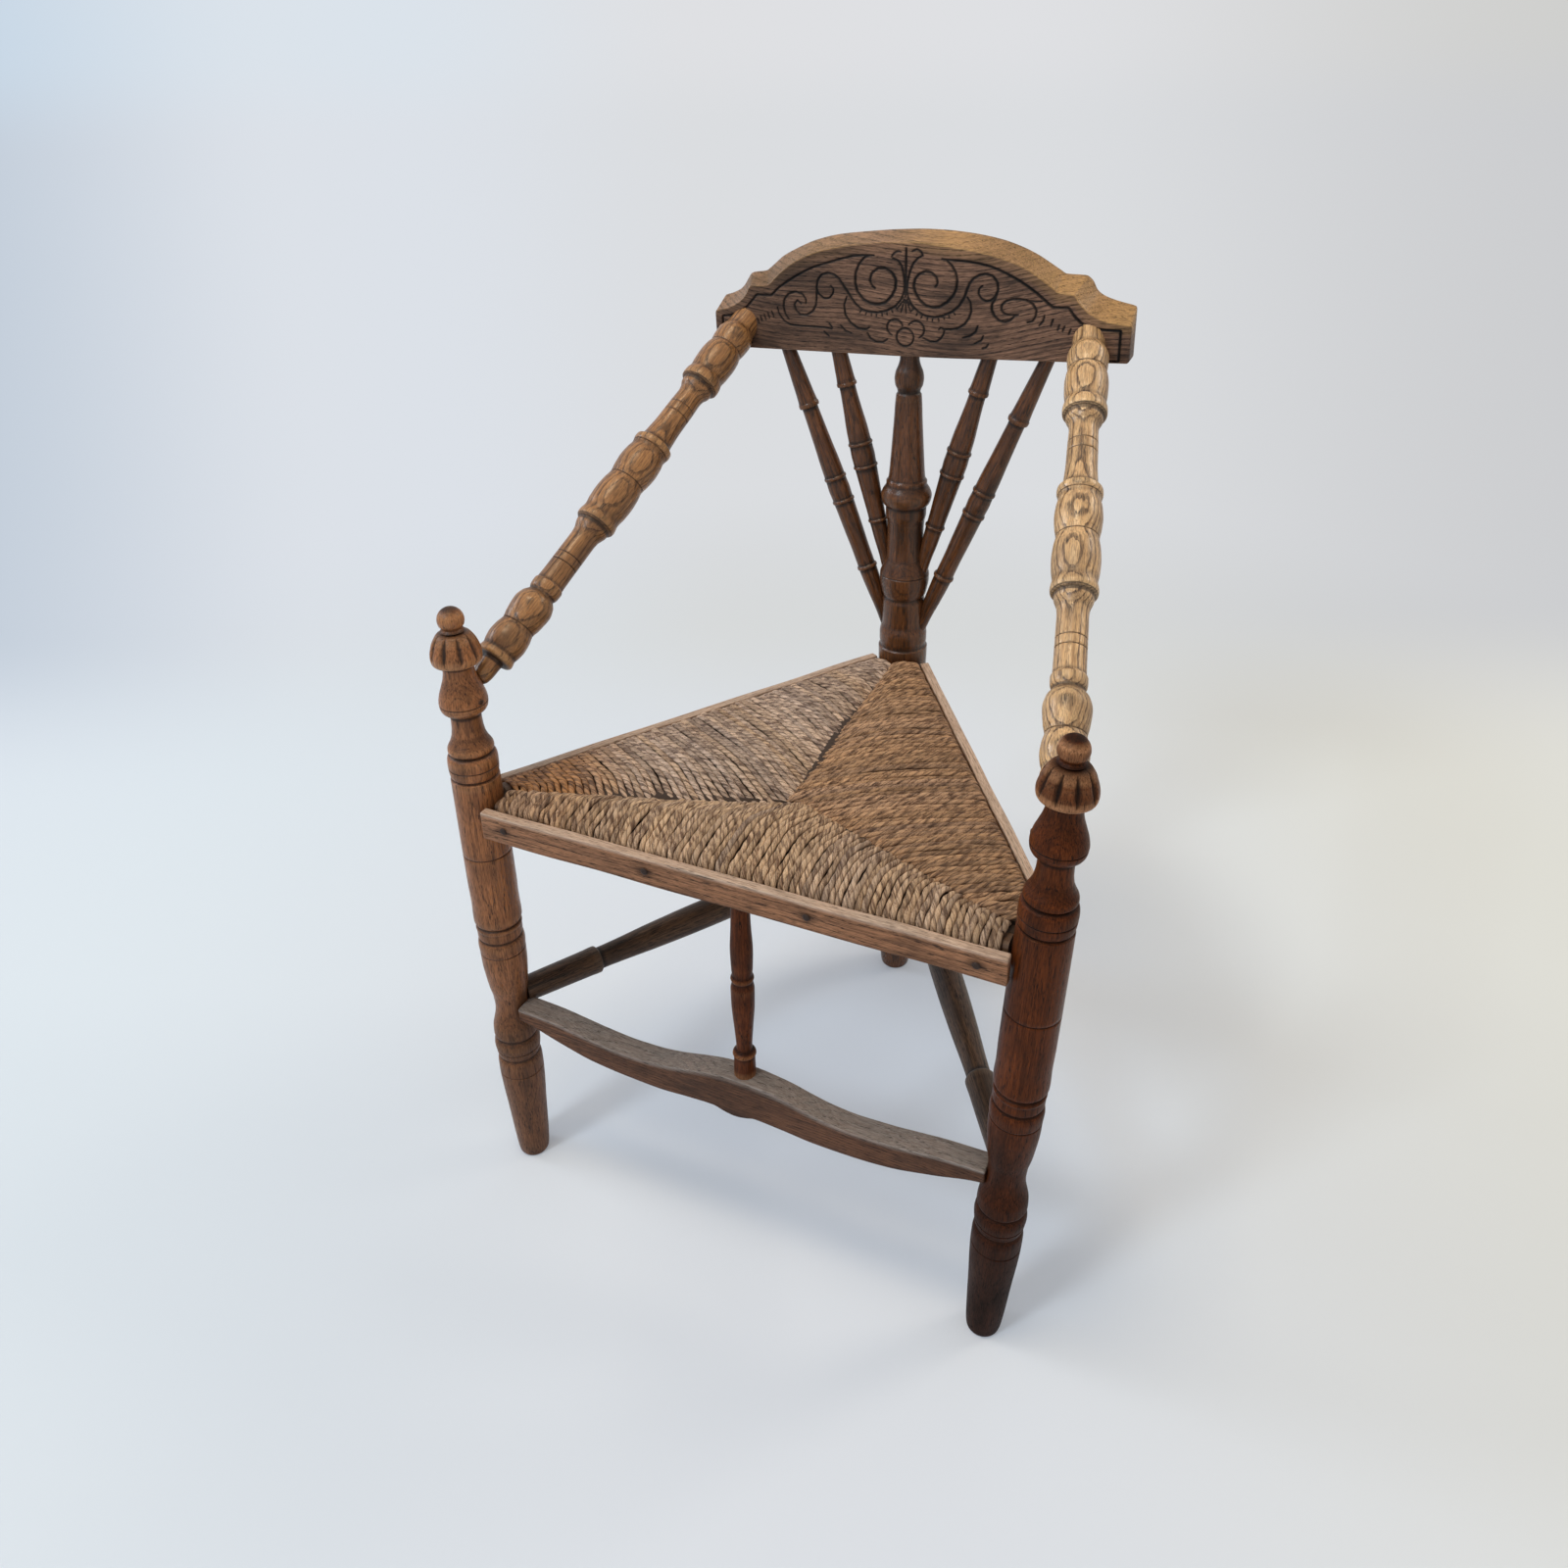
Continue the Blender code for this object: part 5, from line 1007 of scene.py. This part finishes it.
def makeCrest(shape):
    # each section runs up the carved front face, over the top, down the back and forward along
    # the underside; the sections follow the outline and are drawn in at the ends
    keyRun = lengthAlong(crestKeys[:, :2])
    nearEnds = np.array([0.0002, 0.0006, 0.0012, 0.0020])
    run = np.unique(np.concatenate([np.linspace(0.0, keyRun[-1], shape["columns"]), nearEnds,
                                    keyRun[-1] - nearEnds]))
    xs, topHeight, backX, backHeight = [smoothThrough(keyRun, crestKeys[:, k], run) for k in range(4)]
    soft, half = shape["soft"], crestThickness / 2
    underside = np.interp(xs, undersideKeys[:, 0], undersideKeys[:, 1])
    drawn = drawnIn(np.minimum(run, run[-1] - run), shape["softEnd"])
    faceX = np.repeat(xs[:, None], shape["faceRows"], 1)
    faceLow = underside + drawn + soft
    rowShare = np.linspace(0.0, 1.0, shape["faceRows"])
    faceZ = faceLow[:, None] + rowShare[None, :] * (topHeight - drawn - soft - faceLow)[:, None]
    carved, dark = cutLines(strokes, faceX, faceZ)
    faceY = -half + drawn[:, None] + carved
    # hand-planed face: slow hollows a fraction of a millimetre deep
    faceY = faceY + 0.00022 * np.sin(faceX * 70 + 3 * np.sin(faceZ * 60)) * np.sin(faceZ * 110 + 1)

    # the rest of each section: x, y, z and how rubbed it is
    softTurns = [math.pi / 2 * k / 4 for k in range(1, 5)]
    front, back = -half + drawn, half - drawn
    frontTop, backTop, foot = topHeight - drawn, backHeight - drawn, underside + drawn
    rows = [(xs, front + soft - soft * math.cos(turn), frontTop - soft + soft * math.sin(turn), 1.0)
            for turn in softTurns]
    rows += [(xs + (backX - xs) * share, front + soft + (back - front - 2 * soft) * share,
              frontTop + (backTop - frontTop) * share, 0.92)
             for share in (0.10, 0.22, 0.36, 0.5, 0.64, 0.78, 0.90)]
    rows += [(backX, back - soft + soft * math.sin(turn), backTop - soft + soft * math.cos(turn), 0.7)
             for turn in [0.0] + softTurns]
    rows += [(backX, back, backTop - soft + (foot + soft - backTop + soft) * share, 0.1)
             for share in np.linspace(0.08, 1.0, 12)]
    rows += [(backX, back - soft + soft * math.cos(turn), foot + soft - soft * math.sin(turn), 0.1)
             for turn in softTurns]
    rows += [(backX + (xs - backX) * share, back - soft + (front - back + 2 * soft) * share, foot, 0.0)
             for share in (0.25, 0.5, 0.75, 1.0)]
    rows += [(xs, front + soft - soft * math.sin(turn), foot + soft - soft * math.cos(turn), 0.1)
             for turn in softTurns[:-1]]
    restX, restY, restZ, restWearAndHighlight = [np.stack([np.broadcast_to(row[k], xs.shape) for row in rows], 1)
                                     for k in range(4)]
    gridX = np.concatenate([faceX, restX], 1)
    gridY = np.concatenate([faceY, restY], 1)
    gridZ = np.concatenate([faceZ, restZ], 1)
    tips = np.stack([crestPoint((xs[k] + backX[k]) / 2, 0.0, (topHeight[k] + foot[k]) / 2)
                     for k in (0, -1)])
    points = np.concatenate([crestPoint(gridX, gridY, gridZ).reshape(-1, 3), tips])
    # the gouged lines, dirt with painted shade, and the left end are dark
    dirtAndShade = np.concatenate([np.maximum(dark, 0.40 * ease(-faceX, 0.01, 0.15)), np.zeros(restY.shape)], 1)
    # the top and its front arris are rubbed, wear with a painted highlight, golden to the right of the middle
    faceWearAndHighlight = np.maximum(ease(faceZ - topHeight[:, None], -0.0026, -0.0008),
                          0.28 * ease(faceZ - topHeight[:, None], -0.013, -0.005) * (1 - dark))
    wearAndHighlight = np.concatenate([faceWearAndHighlight, restWearAndHighlight], 1) * (0.46 + 0.54 * ease(gridX, -0.07, 0.07))
    wearAndHighlight = wearAndHighlight * (0.80 + 0.20 * np.sin(gridX * 23 + 4 * np.sin(gridX * 9)))
    # less so on the outer side of the right shoulder
    shoulder = ease(gridX, 0.1490, 0.1535) * (1 - ease(gridX, 0.166, 0.180))
    wearAndHighlight = wearAndHighlight * (1 - (0.75 - 0.55 * ease(gridX, 0.0, 0.05)) * shoulder)
    # the grain bows slowly along the board
    sway = 0.022 * np.cos(gridX * 8.0) + 0.004 * np.sin(gridX * 31.0)
    grain = np.stack([gridZ + 0.030 + sway, gridY * 0.6 + 0.012, gridX], -1).reshape(-1, 3)
    grain = np.concatenate([grain, [[0.05, 0.0, xs[0]], [0.05, 0.0, xs[-1]]]])
    quads, tris = tubeFaces(len(xs), gridY.shape[1])
    meshPiece("crestRail", points, quads, tris, oaks["greyOak"], ["crest_rail"],
              {"grain": grain, "dirtAndShade": np.append(dirtAndShade.ravel(), [0.2, 0.2]),
               "wearAndHighlight": np.append(wearAndHighlight.ravel(), [0.2, 0.2])}, 60)


makeCrest(crestShape)
print("crest done")

# Rush seat, in metres: where the three sectors meet, the cords' spacing and radius, the roll
# over the rails, the crown in the middle of each side, and the length of one twist
meeting = np.array([middleX + 0.0065, frontLineY + 0.1030, seatRailHeight])
cord = dict(pitch=0.0054, radius=0.00275, rollHalf=0.0112, crown=0.0050, valleyDip=0.0020,
            twistGap=0.0240, cornerGap=0.0268, topRings=50, rollRings=14, lowRings=16, columns=10)
# each sector's corners, how high its roll stands, how the cords lean towards the mitre at its
# two ends, how grey and how warm it is, and how warm near the left corner; an over sector's
# cords lie on top at the mitres, the other's are tucked under them
sectors = {
    "front": dict(ends=(cornerA, cornerB), over=True, rollTall=0.0134, bends=(0.34, 0.10), grey=0.20,
                  warm=0.0, cornerWarm=0.35, seed=31),
    "right": dict(ends=(cornerB, cornerC), over=True, rollTall=0.0128, bends=(0.10, 0.0), grey=0.15,
                  warm=0.55, cornerWarm=0.35, seed=32),
    "left": dict(ends=(cornerC, cornerA), over=False, rollTall=0.0104, bends=(0.05, 0.16), grey=0.75,
                 warm=0.0, cornerWarm=0.95, seed=33)}


def cordSector(word, sector):
    # each cord is a tube square to its rail: from the mitre on top, out over the rail, round
    # its edge and back underneath to the mitre; its oval section turns along it, as two
    # twisted plies do
    luck = np.random.default_rng(sector["seed"])
    first, rollTall, over, bends = sector["ends"][0], sector["rollTall"], sector["over"], sector["bends"]
    length, along, inward = sideFrame(*sector["ends"])
    meetAlong, meetIn = (meeting - first) @ along, (meeting - first) @ inward
    clear, rollHalf = cord["cornerGap"], cord["rollHalf"]
    count = int((length - 2 * clear) / cord["pitch"])
    places = clear + (length - 2 * clear) * (np.arange(count) + 0.5) / count
    reach = np.where(places < meetAlong, meetIn * places / meetAlong,
                     meetIn * (length - places) / (length - meetAlong))
    reach = reach + (0.0030 if over else 0.0060)

    # the path in its own plane: w inwards from the rail's axis and z up
    topRings, rollRings, lowRings = cord["topRings"], cord["rollRings"], cord["lowRings"]
    topShare = 1 - np.linspace(0.0, 1.0, topRings) ** 0.92
    lowShare = np.linspace(0.0, 1.0, lowRings)
    rollTurn = np.linspace(0.0, math.pi, rollRings + 2)[1:-1]
    crown = cord["crown"] * np.sin(math.pi * places / length)
    w = np.concatenate([reach[:, None] * topShare, -rollHalf * np.sin(rollTurn)[None, :] ** 0.75
                        * np.ones((count, 1)), reach[:, None] * lowShare], 1)
    topZ = rollTall + crown[:, None] * np.sin(math.pi * topShare) - cord["valleyDip"] * topShare ** 5
    fall = 0.0014 if over else 0.0036
    topZ = topZ - fall * ease(topShare[None, :] * reach[:, None], reach[:, None] - 0.0065,
                              reach[:, None])
    rollZ = rollTall * np.sign(np.cos(rollTurn)) * np.abs(np.cos(rollTurn)) ** 0.75
    lowZ = -(rollTall + crown[:, None] * 0.7 * np.sin(math.pi * lowShare)
             - cord["valleyDip"] * lowShare ** 5)
    z = np.concatenate([topZ, np.repeat(rollZ[None, :], count, 0), lowZ], 1)
    # the cords lean a little towards the end that bends gives, more as they near the mitre
    leanTop = ease(topShare, 0.45, 1.0)[None, :] * np.minimum(reach, 0.06)[:, None]
    leanShare = bends[0] + (bends[1] - bends[0]) * ease(places, meetAlong - 0.07, meetAlong + 0.07)
    lean = np.concatenate([leanShare[:, None] * leanTop, np.zeros((count, rollRings + lowRings))], 1)

    # no two cords lie quite alike
    rings = w.shape[1]
    ringPlace = np.arange(rings) / rings
    wobble = 0.00055 * np.sin(ringPlace * luck.uniform(6, 14, (count, 1)) + luck.uniform(0, 6, (count, 1)))
    s = places[:, None] + lean + wobble + luck.normal(0, 0.00022, (count, 1))
    z = z + luck.normal(0, 0.00035, (count, 1)) * np.where(z > 0, 1.0, 0.6)
    z = z + 0.0005 * np.sin(ringPlace * luck.uniform(5, 11, (count, 1)) + luck.uniform(0, 6, (count, 1)))
    centre = first + s[..., None] * along + w[..., None] * inward + z[..., None] * up
    step = np.linalg.norm(np.diff(centre, axis=1), axis=2)
    run = np.concatenate([np.zeros((count, 1)), np.cumsum(step, 1)], 1)
    tangent = np.gradient(centre, axis=1)
    tangent /= np.linalg.norm(tangent, axis=2, keepdims=True)
    across = along - tangent * (tangent @ along)[..., None]
    across /= np.linalg.norm(across, axis=2, keepdims=True)
    normal = np.cross(tangent, across)

    # the section: two lobes that turn once in a twist, thinner at the cord's tips
    columns = cord["columns"]
    angle = np.arange(columns) * math.tau / columns
    phase = (angle[None, None, :] + run[..., None] * (math.tau / cord["twistGap"])
             + luck.uniform(0, math.tau, (count, 1, 1)))
    thick = cord["radius"] * luck.uniform(0.93, 1.06, (count, 1, 1))
    uneven = 1 + 0.07 * np.sin(run[..., None] * luck.uniform(90, 150, (count, 1, 1))
                               + luck.uniform(0, 6, (count, 1, 1)))
    radius = thick * uneven * (0.925 + 0.095 * np.cos(2 * phase))
    fromTip = np.minimum(run, run[:, -1:] - run)[..., None]
    radius = radius * (0.55 + 0.45 * ease(fromTip, 0.0, 0.003))
    grid = (centre[:, :, None, :] + radius[..., None]
            * (across[:, :, None, :] * 1.08 * np.cos(angle)[:, None]
               + normal[:, :, None, :] * 0.88 * np.sin(angle)[:, None]))
    fibre = np.stack([np.cos(phase), np.sin(phase), np.broadcast_to(run[..., None] * 46.0, phase.shape)
                      + np.arange(count)[:, None, None] * 7.3], -1)

    # tones: shade, grey and warmth of each cord, warmer near the left corner and on the right
    shade = luck.uniform(0, 1, (count, 1, 1)) ** 1.2 + 0.45 * ease(centre[..., :1], 0.02, 0.20)
    grey = (sector["grey"] + 0.18 * np.sin(places * 43 + sector["seed"])[:, None, None]
            + 0.2 * luck.normal(0, 1, (count, 1, 1)))
    fromCorner = np.linalg.norm(centre - cornerA, axis=2)[..., None]
    warmth = ease(-fromCorner, -0.150, -0.070) * sector["cornerWarm"] + sector["warm"]
    warmth = warmth + 0.12 * ease(np.abs(z[..., None]), 0.016, 0.010)
    tones = np.stack([np.broadcast_to(np.clip(value, 0, most), phase.shape)
                      for value, most in ((shade, 1.3), (grey, 1), (warmth, 1))], -1)

    # all cords in one mesh, each with two tips
    tips = np.stack([centre[:, 0] - tangent[:, 0] * 0.0012, centre[:, -1] + tangent[:, -1] * 0.0012], 1)
    quads, tris = tubeFaces(rings, columns)
    shift = (np.arange(count) * (rings * columns + 2))[:, None, None]

    def perCord(values):
        ends = [values[:, 0, :1], values[:, -1, :1]]
        return np.concatenate([values.reshape(count, -1, 3), *ends], 1).reshape(-1, 3)

    meshPiece(word + "RushCords", np.concatenate([grid.reshape(count, -1, 3), tips], 1).reshape(-1, 3),
              (quads + shift).reshape(-1, 4), (tris + shift).reshape(-1, 3), rush, ["rush_seat"],
              {"fibre": perCord(fibre), "rushTone": perCord(tones)})
    return count


print("cords:", [cordSector(word, sector) for word, sector in sectors.items()])

# Stuffing: a flat three-sided pillow inside the cords, rings drawn in from the rails; half
# its thickness, the gap at each corner, and how far its round edge stands out of the rails
pillow = dict(half=0.0085, cornerGap=0.026, edge=0.0086)


def pillowRing(inward, half, offset):
    # inward is the share of the way from the rails to the meeting point
    ring = []
    for first, second in ((cornerA, cornerB), (cornerB, cornerC), (cornerC, cornerA)):
        length, along, into = sideFrame(first, second)
        for share in np.linspace(0.0, 1.0, 13):
            at = first + along * (pillow["cornerGap"] + (length - 2 * pillow["cornerGap"]) * share)
            at = at - into * offset
            at = at + (meeting - at) * inward
            crown = cord["crown"] * 0.8 * math.sin(math.pi * share) * math.sin(math.pi * inward)
            dip = 0.0040 * abs(2 * share - 1) ** 6 * math.sin(math.pi * min(inward * 2, 1.0) / 2)
            rise = math.copysign(crown - dip, half) * (inward > 0)
            ring.append([at[0], at[1], seatRailHeight + half + rise])
    return np.array(ring)


shares = (0.97, 0.8, 0.6, 0.4, 0.2, 0.0)
rings = [pillowRing(share, pillow["half"], 0.0) for share in shares]
for turn in (45, 0, -45):
    rings.append(pillowRing(0.0, pillow["half"] * math.sin(math.radians(turn)) + 1e-6,
                            pillow["edge"] * math.cos(math.radians(turn))))
rings += [pillowRing(share, -pillow["half"], 0.0) for share in shares[::-1]]
rings = np.array(rings)[::-1]
quads, tris = tubeFaces(len(rings), rings.shape[1])
tips = np.stack([rings[0].mean(0), rings[-1].mean(0)])
meshPiece("rushStuffing", np.concatenate([rings.reshape(-1, 3), tips]), quads, tris, stuffing,
          ["rush_seat"], {})
print("rush seat done")

# Kept CAD nodes: the seat rails, inside the rush
for word in ("front", "right", "left"):
    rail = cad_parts[word + "_seat_rail"]
    rail.data.materials.clear()
    rail.data.materials.append(hiddenOak)

print("pieces done")
